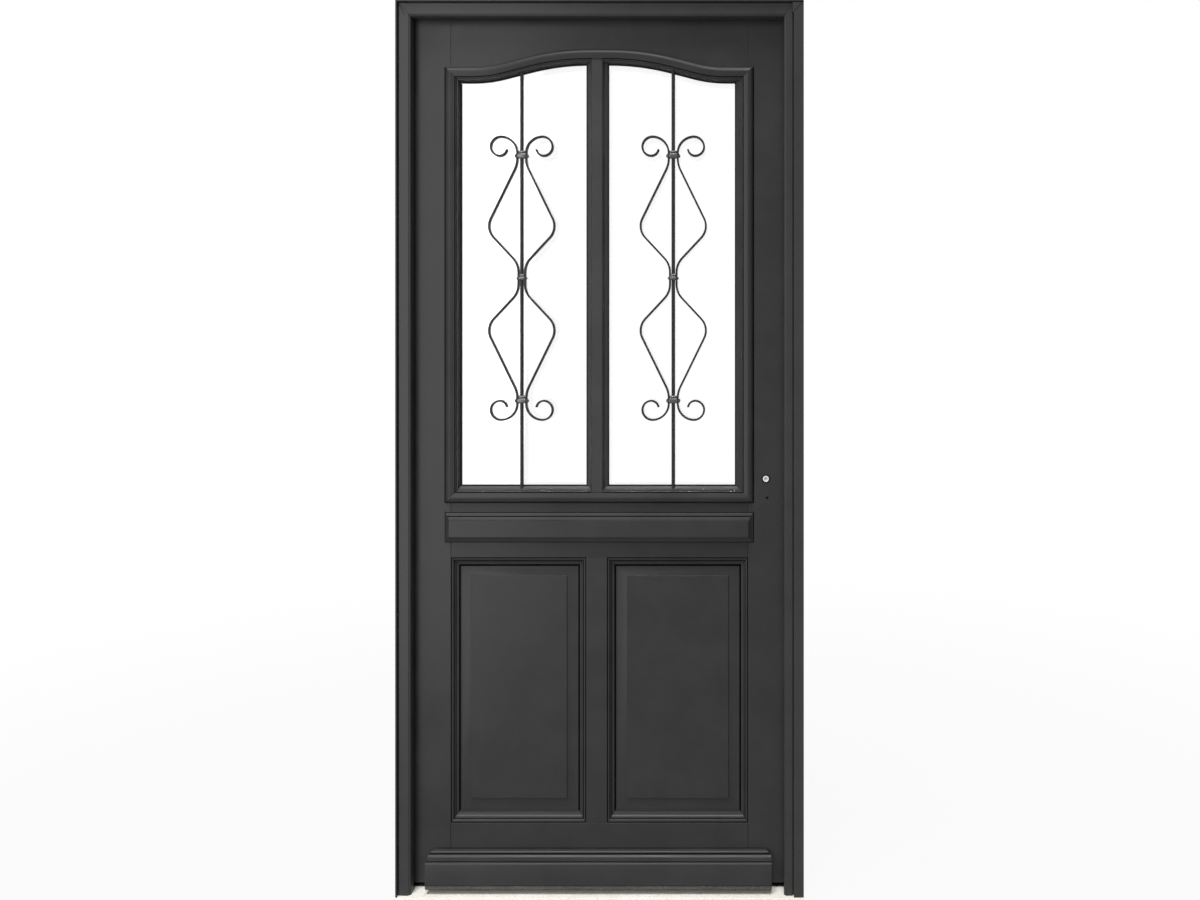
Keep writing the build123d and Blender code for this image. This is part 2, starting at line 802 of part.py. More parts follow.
weather_width = 2 * half_clear - weather_margin_hinge - weather_margin_lock
weather_offset = (weather_margin_hinge - weather_margin_lock) / 2
weather_base = sill_height + weather_bottom
weather_top = weather_base + weather_height


def weather_point(point):
    """Point of the weatherboard's section, from its distance off the leaf and below the top."""
    return (leaf_front - point[0], weather_top - point[1])


with BuildPart() as weatherboard:
    with BuildSketch(Plane.YZ.offset(weather_offset - weather_width / 2)):
        with BuildLine():
            Line(weather_point((0, 0)), weather_point(weather_ridge_upper[0]))
            ThreePointArc(*[weather_point(point) for point in weather_ridge_upper])
            Polyline(
                weather_point(weather_ridge_upper[-1]),
                *[weather_point(point) for point in weather_quirk_upper],
                weather_point(weather_ridge_lower[0]),
            )
            ThreePointArc(*[weather_point(point) for point in weather_ridge_lower])
            Polyline(
                weather_point(weather_ridge_lower[-1]),
                *[weather_point(point) for point in weather_quirk_lower],
                weather_point((weather_projection, weather_arris)),
                weather_point((weather_projection, weather_height - weather_strip)),
                weather_point((weather_projection - weather_strip_setback, weather_height - weather_strip)),
                weather_point((weather_projection - weather_strip_setback, weather_height)),
                weather_point((0, weather_height)),
                weather_point((0, 0)),
            )
        make_face()
    extrude(amount=weather_width)
    with BuildSketch(Plane.XZ.offset(-leaf_front)) as weather_outline:
        with Locations((weather_offset, weather_base - weather_corner)):
            RectangleRounded(
                weather_width,
                weather_height + weather_corner,
                weather_corner,
                align=(Align.CENTER, Align.MIN),
            )
    extrude(weather_outline.sketch, amount=weather_projection, mode=Mode.INTERSECT)
weatherboard.part.label = "weatherboard"
export_step(weatherboard.part, "parts/weatherboard.step")

# Lock: case in the stile, its bush and hub seen in the bore, and the plate on the stile's edge

with BuildPart() as faceplate:
    with BuildSketch(Plane.XY.offset(case_centre_z - faceplate_height / 2)):
        with Locations((plate_x - faceplate_thickness, faceplate_y)):
            Rectangle(faceplate_thickness, faceplate_width, align=(Align.MIN, Align.CENTER))
    extrude(amount=faceplate_height)
faceplate.part.label = "faceplate"
export_step(faceplate.part, "parts/faceplate.step")

with BuildPart() as lock_case:
    with BuildSketch(Plane.XY.offset(case_centre_z - case_height / 2)):
        with Locations((plate_x - faceplate_thickness, case_front)):
            Rectangle(case_width, case_thickness, align=(Align.MAX, Align.MIN))
    extrude(amount=case_height)
    with BuildSketch(Plane.XZ.offset(-case_front)):
        with Locations((bore_x, bore_z)):
            Circle(follower_ring_radius)
    extrude(amount=-follower_length, mode=Mode.SUBTRACT)
    with BuildSketch(Plane.XZ.offset(-case_front)):
        with Locations((bore_x, bore_z)):
            Circle(follower_hub_radius)
            Rectangle(follower_square, follower_square, rotation=45, mode=Mode.SUBTRACT)
    extrude(amount=-follower_hub_length)
lock_case.part.label = "lock_case"
export_step(lock_case.part, "parts/lock_case.step")

with BuildPart() as follower_bush:
    with BuildSketch(Plane.XZ.offset(-case_front)):
        with Locations((bore_x, bore_z)):
            Circle(follower_ring_radius)
            Circle(follower_hub_radius, mode=Mode.SUBTRACT)
    extrude(amount=-follower_length)
follower_bush.part.label = "follower_bush"
export_step(follower_bush.part, "parts/follower_bush.step")

with BuildPart() as strike_plate:
    with BuildSketch(Plane.XY.offset(case_centre_z - strike_height / 2)):
        with Locations((rebate_half, faceplate_y)):
            Rectangle(strike_thickness, strike_width, align=(Align.MIN, Align.CENTER))
    extrude(amount=strike_height)
strike_plate.part.label = "strike_plate"
export_step(strike_plate.part, "parts/strike_plate.step")

# Hinges: the frame's half carries the pin, and the leaf's half turns on it


def hinge_flag(base, reach, side):
    """Flag plate on the inside face, from the barrel's axis outwards to one side."""
    with BuildSketch(Plane.XY.offset(base)) as plate:
        with Locations((hinge_x + side, leaf_back)):
            align_x = Align.MIN if side > 0 else Align.MAX
            Rectangle(reach, flag_thickness, align=(align_x, Align.MIN))
    extrude(plate.sketch, amount=barrel_length)


with BuildPart() as hinge_pins:
    for height in hinge_heights:
        barrel_base = height - barrel_length - barrel_gap / 2
        with BuildSketch(Plane.XY.offset(barrel_base)):
            with Locations((hinge_x, hinge_y)):
                Circle(barrel_radius)
        extrude(amount=barrel_length)
        hinge_flag(barrel_base, flag_width_frame, -1)
        with BuildSketch(Plane.XY.offset(barrel_base + barrel_length)):
            with Locations((hinge_x, hinge_y)):
                Circle(pin_radius)
        extrude(amount=pin_rise)
hinge_pins.part.label = "hinge_pins"
export_step(hinge_pins.part, "parts/hinge_pins.step")

with BuildPart() as hinge_sockets:
    for height in hinge_heights:
        barrel_base = height + barrel_gap / 2
        with BuildSketch(Plane.XY.offset(barrel_base)):
            with Locations((hinge_x, hinge_y)):
                Circle(barrel_radius)
        extrude(amount=barrel_length)
        hinge_flag(barrel_base, flag_width_leaf, 1)
        with BuildSketch(Plane.XY.offset(barrel_base)):
            with Locations((hinge_x, hinge_y)):
                Circle(pin_radius + pin_play)
        extrude(amount=pin_rise + pin_end_play, mode=Mode.SUBTRACT)
hinge_sockets.part.label = "hinge_sockets"
export_step(hinge_sockets.part, "parts/hinge_sockets.step")

# Grille: a bar before each glass with two scrolled flat irons, held by three collars

bar_y = leaf_front + bar_inset
left_bar = mullion_offset - bar_spread
right_bar = mullion_offset + bar_spread
neck_rise = radians(neck_angle)
tail_rise = radians(tail_angle)
tail_run = (
    belly_reach - waist_offset - (tail_radius + belly_radius) * (1 - cos(tail_rise))
) / sin(tail_rise)
neck_slope = (
    belly_reach - scroll_offset - (neck_radius + belly_radius) * (1 - cos(neck_rise))
) / sin(neck_rise)
waist_run = (
    belly_height - (tail_radius + belly_radius) * sin(tail_rise) - tail_run * cos(tail_rise)
)
scroll_base = (
    belly_height + (neck_radius + belly_radius) * sin(neck_rise) + neck_slope * cos(neck_rise) + neck_run
)


def grille_bar(x):
    """Upright bar from rail to rail, trimmed by the mouldings."""
    with BuildSketch(Plane.XY.offset(lock_rail_top)) as section:
        with Locations((x, bar_y)):
            RegularPolygon(bar_radius, bar_sides, rotation=180 / bar_sides)
    extrude(section.sketch, amount=glazing_head + arch_rise - lock_rail_top)
    with BuildSketch(Plane.XZ.offset(-leaf_front)) as region:
        glazed_region(moulding_fillet)
    extrude(region.sketch, amount=-glass_setback, mode=Mode.INTERSECT)
    add(moulding_top.part, mode=Mode.SUBTRACT)
    add(moulding_bottom.part, mode=Mode.SUBTRACT)


def scroll_flat(x, side):
    """Flat iron beside the bar at x, scrolled at its upper end; side is -1 to its left, 1 to its right."""
    with BuildLine() as outline:
        waist = Line((-waist_offset, 0), (-waist_offset, waist_run))
        tail = JernArc(waist @ 1, waist % 1, tail_radius, tail_angle)
        tail_line = PolarLine(tail @ 1, tail_run, direction=tail % 1)
        belly = JernArc(tail_line @ 1, tail_line % 1, belly_radius, -tail_angle - neck_angle)
        neck_line = PolarLine(belly @ 1, neck_slope, direction=belly % 1)
        neck = JernArc(neck_line @ 1, neck_line % 1, neck_radius, neck_angle)
        curl = Line(neck @ 1, neck @ 1 + (neck % 1) * neck_run)
        for radius in scroll_radii:
            curl = JernArc(curl @ 1, curl % 1, radius, scroll_turn)
    centre = Vector(x, bar_y, grille_middle)
    path = Plane(origin=centre, x_dir=(-side, 0, 0), z_dir=(0, side, 0)) * outline.wires()[0]
    with BuildSketch(Plane(origin=path @ 0, z_dir=(0, 0, 1))) as section:
        Rectangle(flat_thickness, flat_depth)
    sweep(section.sketch, path=path)


def collars(x):
    """Three flat collars round the bar and both flat irons, cut to fit them."""
    ends = scroll_base - neck_run / 2
    for offset, width, height in (
        (-ends, collar_width_end, collar_height_end),
        (0, collar_width_middle, collar_height_middle),
        (ends, collar_width_end, collar_height_end),
    ):
        with BuildSketch(Plane.XZ.offset(-bar_y)) as band:
            with Locations((x, grille_middle + offset)):
                Rectangle(width, height)
        extrude(band.sketch, amount=collar_depth / 2, both=True)


with BuildPart() as grille_bar_left:
    grille_bar(left_bar)
grille_bar_left.part.label = "grille_bar_left"
export_step(grille_bar_left.part, "parts/grille_bar_left.step")

with BuildPart() as grille_bar_right:
    grille_bar(right_bar)
grille_bar_right.part.label = "grille_bar_right"
export_step(grille_bar_right.part, "parts/grille_bar_right.step")

with BuildPart() as scrolls_left:
    scroll_flat(left_bar, -1)
    scroll_flat(left_bar, 1)
    mirror(about=Plane.XY.offset(grille_middle))
scrolls_left.part.label = "scrolls_left"
export_step(scrolls_left.part, "parts/scrolls_left.step")

with BuildPart() as collars_left:
    collars(left_bar)
    add(grille_bar_left.part, mode=Mode.SUBTRACT)
    add(scrolls_left.part, mode=Mode.SUBTRACT)
collars_left.part.label = "collars_left"
export_step(collars_left.part, "parts/collars_left.step")

with BuildPart() as scrolls_right:
    scroll_flat(right_bar, -1)
    scroll_flat(right_bar, 1)
    mirror(about=Plane.XY.offset(grille_middle))
scrolls_right.part.label = "scrolls_right"
export_step(scrolls_right.part, "parts/scrolls_right.step")

with BuildPart() as collars_right:
    collars(right_bar)
    add(grille_bar_right.part, mode=Mode.SUBTRACT)
    add(scrolls_right.part, mode=Mode.SUBTRACT)
collars_right.part.label = "collars_right"
export_step(collars_right.part, "parts/collars_right.step")
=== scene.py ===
import bmesh
import bpy
import json
import math
import numpy as np
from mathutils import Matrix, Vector

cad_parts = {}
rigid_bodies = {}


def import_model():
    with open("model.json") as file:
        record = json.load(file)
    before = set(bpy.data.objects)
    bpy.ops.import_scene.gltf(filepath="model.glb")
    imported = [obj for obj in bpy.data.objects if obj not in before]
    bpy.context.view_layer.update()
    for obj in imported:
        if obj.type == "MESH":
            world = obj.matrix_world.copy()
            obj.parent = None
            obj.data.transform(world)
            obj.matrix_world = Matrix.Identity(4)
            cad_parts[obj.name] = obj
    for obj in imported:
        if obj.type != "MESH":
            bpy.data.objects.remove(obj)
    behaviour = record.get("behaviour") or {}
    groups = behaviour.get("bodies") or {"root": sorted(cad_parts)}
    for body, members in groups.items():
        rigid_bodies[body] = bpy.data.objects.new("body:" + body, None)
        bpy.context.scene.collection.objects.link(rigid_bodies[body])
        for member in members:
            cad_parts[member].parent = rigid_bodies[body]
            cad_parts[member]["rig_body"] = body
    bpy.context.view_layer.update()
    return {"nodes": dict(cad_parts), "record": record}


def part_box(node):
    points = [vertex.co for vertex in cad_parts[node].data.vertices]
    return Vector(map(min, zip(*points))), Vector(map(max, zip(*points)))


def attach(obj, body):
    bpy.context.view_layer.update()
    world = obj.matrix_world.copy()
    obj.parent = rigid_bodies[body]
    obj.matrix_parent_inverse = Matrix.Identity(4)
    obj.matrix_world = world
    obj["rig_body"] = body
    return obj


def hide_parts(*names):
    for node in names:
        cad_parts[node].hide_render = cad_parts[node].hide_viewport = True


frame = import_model()
nodes = frame["nodes"]
print("frame loaded,", len(nodes), "nodes")


# Materials

def hexToLinear(code):
    # the sRGB curve undone for each channel
    channels = [int(code[i:i + 2], 16) / 255 for i in (1, 3, 5)]
    return [c / 12.92 if c <= 0.04045 else ((c + 0.055) / 1.055) ** 2.4 for c in channels] + [1.0]


def addNode(material, kind, values={}, links={}, **settings):
    # one node; values fill its own sockets, links join them to (node, output) pairs
    tree = material.node_tree
    node = tree.nodes.new(kind)
    for name, value in settings.items():
        setattr(node, name, value)
    for name, value in values.items():
        node.inputs[name].default_value = value
    for name, (source, output) in links.items():
        tree.links.new(source.outputs[output], node.inputs[name])
    return node


def newMaterial(name, **values):
    # a Principled surface with those socket values, and the node itself
    material = bpy.data.materials.new(name)
    material.use_nodes = True
    surface = material.node_tree.nodes["Principled BSDF"]
    for socket, value in values.items():
        surface.inputs[socket.replace("_", " ")].default_value = value
    return material, surface


def joinSockets(material, source, output, target, socket):
    material.node_tree.links.new(source.outputs[output], target.inputs[socket])


def blendColours(material, factor, low, high, lowAt=0.3, highAt=0.7):
    # two hex colours mixed by a factor output
    ramp = addNode(material, "ShaderNodeValToRGB", links={"Fac": factor})
    ramp.color_ramp.elements[0].position = lowAt
    ramp.color_ramp.elements[0].color = hexToLinear(low)
    ramp.color_ramp.elements[1].position = highAt
    ramp.color_ramp.elements[1].color = hexToLinear(high)
    return ramp


paint = {
    # darkest and lightest tone of the coat on the leaf, on the frame and mullion, and on the lock rail
    "leafCoat": ("#303031", "#3c3c3c"),
    # painted light: the frame and mullion coat is lighter than the leaf's, for the light their proud faces catch
    "frameCoatWithPaintedLight": ("#393939", "#444444"),
    # painted shade: the lock rail's coat is darker than the leaf's, for the shade on the recessed rail
    "railCoatWithPaintedShade": ("#2a2a2b", "#343435"),
    "roughness": 0.36,
    "gloss": 0.18,
    "grainAcross": 0.0022,    # width of a raised grain line
    "grainAlong": 0.09,       # its length
    "sprayGrit": 0.0016,      # grit of the sprayed coat, drawn coarse enough to show
}


def satinPaint(name, along, coat):
    # sprayed satin paint on timber: even dark grey, a soft sheen, the grain just felt under the coat
    material, surface = newMaterial(name, Roughness=paint["roughness"], Specular_IOR_Level=paint["gloss"])
    place = addNode(material, "ShaderNodeTexCoord")
    stretch = [1 / paint["grainAcross"]] * 3
    stretch[along] = 1 / paint["grainAlong"]
    grainPlace = addNode(material, "ShaderNodeMapping", {"Scale": stretch}, {"Vector": (place, "Object")})
    grain = addNode(
        material, "ShaderNodeTexNoise", {"Scale": 1.0, "Detail": 3.0, "Roughness": 0.6},
        {"Vector": (grainPlace, "Vector")},
    )
    grit = addNode(
        material, "ShaderNodeTexNoise", {"Scale": 1 / paint["sprayGrit"], "Detail": 2.0},
        {"Vector": (place, "Object")},
    )
    cloud = addNode(
        material, "ShaderNodeTexNoise", {"Scale": 9.0, "Detail": 3.0, "Roughness": 0.6},
        {"Vector": (place, "Object")},
    )
    mixed = addNode(
        material, "ShaderNodeMix", {"Factor": 0.45}, {"A": (cloud, "Fac"), "B": (grit, "Fac")},
        data_type="FLOAT",
    )
    colour = blendColours(material, (mixed, "Result"), *coat)
    joinSockets(material, colour, "Color", surface, "Base Color")
    coarse = addNode(
        material, "ShaderNodeBump", {"Strength": 0.12, "Distance": 0.0004}, {"Height": (grain, "Fac")},
    )
    fine = addNode(
        material, "ShaderNodeBump", {"Strength": 0.1, "Distance": 0.0003},
        {"Height": (grit, "Fac"), "Normal": (coarse, "Normal")},
    )
    joinSockets(material, fine, "Normal", surface, "Normal")
    sheen = addNode(
        material, "ShaderNodeMapRange",
        {"From Min": 0.3, "From Max": 0.7, "To Min": paint["roughness"] - 0.05, "To Max": paint["roughness"] + 0.08},
        {"Value": (cloud, "Fac")},
    )
    joinSockets(material, sheen, "Result", surface, "Roughness")
    return material


uprightPaint = satinPaint("satin painted timber, upright grain", 2, paint["leafCoat"])
levelPaint = satinPaint("satin painted timber, level grain", 0, paint["leafCoat"])
# the frame coat is lighter, painted light on the proud frame and mullion
uprightFramePaintedLight = satinPaint("satin painted frame timber, upright grain", 2, paint["frameCoatWithPaintedLight"])
# the lock rail's coat is darker, painted shade
railPaintWithPaintedShade = satinPaint("satin painted lock rail, level grain", 0, paint["railCoatWithPaintedShade"])
levelFramePaintedLight = satinPaint("satin painted frame timber, level grain", 0, paint["frameCoatWithPaintedLight"])


def speckledMaterial(name, low, high, speck, grain, roughness, bump, gloss=0.5):
    # a body colour with specks of a second colour; grain is the speck's size in metres
    material, surface = newMaterial(name, Roughness=roughness, Specular_IOR_Level=gloss)
    place = addNode(material, "ShaderNodeTexCoord")
    cloud = addNode(
        material, "ShaderNodeTexNoise", {"Scale": 14.0, "Detail": 4.0}, {"Vector": (place, "Object")},
    )
    base = blendColours(material, (cloud, "Fac"), low, high)
    specks = addNode(
        material, "ShaderNodeTexNoise", {"Scale": 1 / grain, "Detail": 2.0, "Roughness": 0.7},
        {"Vector": (place, "Object")},
    )
    amount = addNode(
        material, "ShaderNodeMapRange", {"From Min": 0.56, "From Max": 0.7, "To Max": 0.85},
        {"Value": (specks, "Fac")},
    )
    # a colour mix has its colours on sockets 6 and 7 and its result on 2
    mixed = addNode(
        material, "ShaderNodeMix", {7: hexToLinear(speck)}, {6: (base, "Color"), 0: (amount, "Result")},
        data_type="RGBA",
    )
    joinSockets(material, mixed, 2, surface, "Base Color")
    relief = addNode(
        material, "ShaderNodeBump", {"Strength": bump, "Distance": 0.0004}, {"Height": (specks, "Fac")},
    )
    joinSockets(material, relief, "Normal", surface, "Normal")
    return material


# cast composite threshold: near white with cream specks, dull
castSill = speckledMaterial("cast composite threshold", "#e9e6dc", "#f4f2ec", "#b9b3a2", 0.0035, 0.6, 0.25)
# wrought iron under a grey lacquer: slightly uneven from the hammer
lacqueredIron = speckledMaterial("lacquered wrought iron", "#2a2a2a", "#333332", "#403f3e", 0.004, 0.5, 0.3, 0.15)
# the clips of the grille, rubbed brighter by the hammer
rubbedIron = speckledMaterial("rubbed wrought iron clips", "#2e2d2c", "#3a3938", "#4e4c4a", 0.003, 0.25, 0.3, 0.9)
# EPDM gasket: black, dull
gasketRubber = speckledMaterial("moulded EPDM gasket", "#101010", "#161616", "#1d1d1d", 0.002, 0.7, 0.1, 0.12)
# drip strip under the weatherboard: mid grey with pale specks; partly its own grey, partly painted light thrown up
# from the pale threshold
dripStripWithPaintedBounce = speckledMaterial("pale speckled drip strip, lighter with painted bounce light", "#504e4a", "#5c5a55", "#918d82", 0.0028, 0.7, 0.3, 0.2)
# cast hub of the lock: pale grey, dull
castHub = speckledMaterial("cast zinc hub", "#c4c4c2", "#d2d2cf", "#b2b2ae", 0.001, 0.5, 0.1)
# nylon bush: white, slightly glossy
nylonBush = speckledMaterial("moulded nylon bush", "#fbfbf9", "#ffffff", "#f4f3f0", 0.002, 0.4, 0.05)


def brushedMetal(name, low, high, along, roughness):
    # metal drawn through a brush: fine lines along one axis
    material, surface = newMaterial(name, Metallic=1.0, Roughness=roughness)
    place = addNode(material, "ShaderNodeTexCoord")
    lineWidth, lineLength = 0.0006, 0.04
    stretch = [1 / lineWidth] * 3
    stretch[along] = 1 / lineLength
    turned = addNode(material, "ShaderNodeMapping", {"Scale": stretch}, {"Vector": (place, "Object")})
    lines = addNode(
        material, "ShaderNodeTexNoise", {"Scale": 1.0, "Detail": 2.0}, {"Vector": (turned, "Vector")},
    )
    colour = blendColours(material, (lines, "Fac"), low, high)
    joinSockets(material, colour, "Color", surface, "Base Color")
    relief = addNode(
        material, "ShaderNodeBump", {"Strength": 0.15, "Distance": 0.0001}, {"Height": (lines, "Fac")},
    )
    joinSockets(material, relief, "Normal", surface, "Normal")
    return material


brushedSteel = brushedMetal("brushed stainless steel", "#a5a5a3", "#bcbbb8", 2, 0.32)
# float glass: clear and colourless, mirror smooth
floatGlass, _ = newMaterial(
    "clear float glass", Base_Color=hexToLinear("#ffffff"), Roughness=0.0, IOR=1.5, Transmission_Weight=1.0,
)
# painted shade: near black and without shine, laid where joints, quirks, slots and holes fall into shadow
paintedShade = speckledMaterial("open joint in shadow", "#0b0b0b", "#111111", "#151515", 0.002, 0.85, 0.1, 0.0)
print("materials made")


# Carried-over pieces: the CAD shape with its edges eased, as a sanded and painted edge is

def slotOf(name):
    return next(part["material_slot"] for part in frame["record"]["subparts"] if part["node"] == name)


def mergedCopy(name):
    # the node's loose triangles joined, and its flat faces made one
    mesh = nodes[name].data.copy()
    shape = bmesh.new()
    shape.from_mesh(mesh)
    bmesh.ops.remove_doubles(shape, verts=shape.verts, dist=0.00001)
    bmesh.ops.dissolve_limit(shape, angle_limit=math.radians(0.8), verts=shape.verts, edges=shape.edges)
    shape.to_mesh(mesh)
    shape.free()
    mesh.materials.clear()
    return mesh


def placePiece(name, mesh, body, slot, replaces=()):
    # the mesh as an object that rides on a body
    piece = bpy.data.objects.new(name, mesh)
    bpy.context.scene.collection.objects.link(piece)
    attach(piece, body)
    if replaces:
        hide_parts(*replaces)
    return piece


def closeAndTurnOut(mesh):
    # doubles at poles and seams merged, then every face turned outwards
    shape = bmesh.new()
    shape.from_mesh(mesh)
    bmesh.ops.remove_doubles(shape, verts=shape.verts, dist=0.00001)
    bmesh.ops.recalc_face_normals(shape, faces=shape.faces)
    shape.to_mesh(mesh)
    shape.free()


easedEdge = {"segments": 2, "sharp": math.radians(32)}


def easeEdges(name, width, finish, swell=0.0):
    # a small round on every edge sharper than the angle
    mesh = mergedCopy(name)
    if swell:
        # every point moved out along its normal
        points, normals = np.zeros((2, len(mesh.vertices) * 3), np.float32)
        mesh.vertices.foreach_get("co", points)
        mesh.vertex_normals.foreach_get("vector", normals)
        mesh.vertices.foreach_set("co", points + normals * swell)
    mesh.shade_smooth()
    mesh.set_sharp_from_angle(angle=easedEdge["sharp"])
    mesh.materials.append(finish)
    piece = placePiece(name + "_eased", mesh, nodes[name]["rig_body"], slotOf(name), [name])
    rounding = piece.modifiers.new("easedEdge", "BEVEL")
    rounding.width = width
    rounding.segments = easedEdge["segments"]
    rounding.limit_method = "ANGLE"
    rounding.angle_limit = easedEdge["sharp"]
    rounding.harden_normals = True
    rounding.use_clamp_overlap = True


easing = {
    # node: (edge radius in metres, finish and its grain, metres it is swollen by)
    # the frame's pieces take the lighter coat, painted light
    "hinge_jamb": (0.0006, uprightFramePaintedLight), "lock_jamb": (0.0006, uprightFramePaintedLight),
    "frame_head": (0.0006, levelFramePaintedLight),
    "trim_strip_hinge": (0.0005, uprightFramePaintedLight), "trim_strip_lock": (0.0005, uprightFramePaintedLight),
    "trim_strip_head": (0.0005, levelFramePaintedLight),
    "hinge_stile": (0.0008, uprightPaint), "lock_stile": (0.0008, uprightPaint),
    # the lock rail takes the darker coat, painted shade
    "top_rail": (0.0008, levelPaint), "lock_rail": (0.0008, railPaintWithPaintedShade),
    "bottom_rail": (0.0008, levelPaint), "lower_muntin": (0.0008, uprightPaint),
    "glazing_bead": (0.0010, uprightPaint),
    "panel_left": (0.0008, uprightPaint), "panel_right": (0.0008, uprightPaint),
    "inner_moulding_left": (0.0004, uprightPaint), "inner_moulding_right": (0.0004, uprightPaint),
    "threshold": (0.0010, castSill), "threshold_bar": (0.0008, gasketRubber),
    "frame_seal": (0.0010, gasketRubber),
    "hinge_pins": (0.0006, uprightPaint), "hinge_sockets": (0.0006, uprightPaint),
    "lock_case": (0.0004, brushedSteel), "faceplate": (0.0004, brushedSteel),
    "strike_plate": (0.0004, brushedSteel),
    "scrolls_left": (0.0008, lacqueredIron, 0.0004), "scrolls_right": (0.0008, lacqueredIron, 0.0004),
}
for name, values in easing.items():
    easeEdges(name, *values)
print("carried-over pieces eased")


# New pieces

def meshPiece(name, points, faces, body, finish, slot, replaces=()):
    # numpy points and faces into one smooth mesh that rides on a body
    mesh = bpy.data.meshes.new(name)
    mesh.from_pydata(np.asarray(points).reshape(-1, 3), [], np.asarray(faces).tolist())
    mesh.update()
    mesh.shade_smooth()
    mesh.set_sharp_from_angle(angle=math.radians(35))
    mesh.materials.append(finish)
    return placePiece(name, mesh, body, slot, replaces)


def gridFaces(rows, columns, closeRows=False, closeColumns=False):
    # quads between neighbours of a rows by columns grid, joined round where it is closed
    i, j = np.meshgrid(
        np.arange(rows if closeRows else rows - 1), np.arange(columns if closeColumns else columns - 1), indexing="ij"
    )
    i, j = i.ravel(), j.ravel()
    nextI, nextJ = (i + 1) % rows, (j + 1) % columns
    return np.stack([i * columns + j, i * columns + nextJ, nextI * columns + nextJ, nextI * columns + j], axis=1)


# the six faces of a box whose first four corners go round its front and the other four round its back
boxFaces = np.array([[0, 1, 2, 3], [7, 6, 5, 4], [0, 4, 5, 1], [1, 5, 6, 2], [2, 6, 7, 3], [3, 7, 4, 0]])


def boxPoints(outline, front, back):
    # four (x, z) corners at a front and a back depth
    outline = np.asarray(outline)
    return np.concatenate([np.insert(outline, 1, y, axis=1) for y in (front, back)])


# The grille's round bars: a circle of one radius carried up a straight line, closed to a point at its ends

grille = {"radius": 0.0044, "sides": 32}
for side in ("left", "right"):
    low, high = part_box("grille_bar_" + side)
    middle = (low + high) / 2
    turn = np.linspace(0, 2 * math.pi, grille["sides"], endpoint=False)
    heights = np.array([low.z, low.z, high.z, high.z])
    radii = np.array([0.0, grille["radius"], grille["radius"], 0.0])
    points = np.stack([
        middle.x + radii[:, None] * np.cos(turn),
        middle.y + radii[:, None] * np.sin(turn),
        heights[:, None] + 0 * turn,
    ], axis=2)
    meshPiece(
        "round_bar_" + side, points, gridFaces(4, grille["sides"], closeColumns=True), "leaf", lacqueredIron,
        "forged_iron", ["grille_bar_" + side],
    )

# Forged clips, and the small blocks and domes of the lock's plates


def swollenBlock(name, low, high, power, body, finish, slot, replaces=(), around=64, rows=24):
    # a squared ellipsoid: along each axis half the size times the sines and cosines of two angles, each raised
    # to a power; the smaller the power, the squarer the block
    low, high = np.asarray(low), np.asarray(high)
    turn = np.linspace(-math.pi, math.pi, around, endpoint=False)
    rise = np.linspace(-math.pi / 2, math.pi / 2, rows)[:, None]

    def bent(values):
        return np.sign(values) * np.abs(values) ** power

    shape = np.stack([
        bent(np.cos(rise)) * bent(np.cos(turn)), bent(np.cos(rise)) * bent(np.sin(turn)),
        bent(np.sin(rise)) + 0 * turn,
    ], axis=2)
    points = (low + high) / 2 + shape * (high - low) / 2
    piece = meshPiece(name, points, gridFaces(rows, around, closeColumns=True), body, finish, slot, replaces)
    closeAndTurnOut(piece.data)


clips = {
    # height above the foot of the collars node, height and width of each clip, in metres
    "places": [(0.0, 0.014, 0.035), (0.3017, 0.010, 0.027), (0.5993, 0.014, 0.035)],
    "cap": (0.006, 0.66),    # height of the narrower lip forged above each clip, and its share of the width
    "lap": 0.0015,           # how far the lip starts inside the clip
    "power": 0.75,
}
for side in ("left", "right"):
    low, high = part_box("collars_" + side)
    middle = (low.x + high.x) / 2
    for i, (up, tall, wide) in enumerate(clips["places"]):
        foot = low.z + up
        for part, z0, z1, half in (
            ("", foot, foot + tall, wide / 2),
            ("_lip", foot + tall - clips["lap"], foot + tall + clips["cap"][0], wide / 2 * clips["cap"][1]),
        ):
            swollenBlock(
                "clip_" + side + "_" + str(i) + part, (middle - half, low.y, z0), (middle + half, high.y, z1),
                clips["power"], "leaf", rubbedIron, "forged_iron", ["collars_" + side],
            )

# The lock's latch and bolt in its faceplate, the mouths for them in the strike, and the plates' screws

low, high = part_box("faceplate")
lock = {
    # middle height and height of each, in metres
    "latch": (1.062, 0.030), "bolt": (0.957, 0.036),
    "screws": (0.125, 0.60, 1.30, 1.793), "strikeScrews": (0.861, 1.057),
    "screwRadius": 0.0042, "screwSunk": 0.001, "screwDome": 0.0008, "slotHalf": 0.0005, "slotProud": 0.0001,
    "thick": 0.013, "proud": 0.0022, "power": 0.2,
    "sunk": 0.002,                            # how far latch and bolt reach behind the plate's face
    "mouth": (0.00015, 0.001),                # how far a mouth stands off the strike, and lies within it
    "mouthMargin": (0.001, 0.002),            # what it is larger than the latch or bolt, across and up
}
across = (low.y + high.y) / 2
for name in ("latch", "bolt"):
    z, tall = lock[name]
    swollenBlock(
        "lock_" + name, (high.x - lock["sunk"], across - lock["thick"] / 2, z - tall / 2),
        (high.x + lock["proud"], across + lock["thick"] / 2, z + tall / 2), lock["power"], "leaf", brushedSteel,
        "lock_steel",
    )
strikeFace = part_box("strike_plate")[0].x
(proud, within), (aside, above) = lock["mouth"], lock["mouthMargin"]
# each mouth is a near-black block on the strike: painted shade standing for the opening
for name in ("latch", "bolt"):
    z, tall = lock[name]
    swollenBlock(
        "strike_mouth_" + name,
        (strikeFace - proud, across - lock["thick"] / 2 - aside, z - tall / 2 - above),
        (strikeFace + within, across + lock["thick"] / 2 + aside, z + tall / 2 + above),
        lock["power"], "frame", paintedShade, "lock_steel",
    )


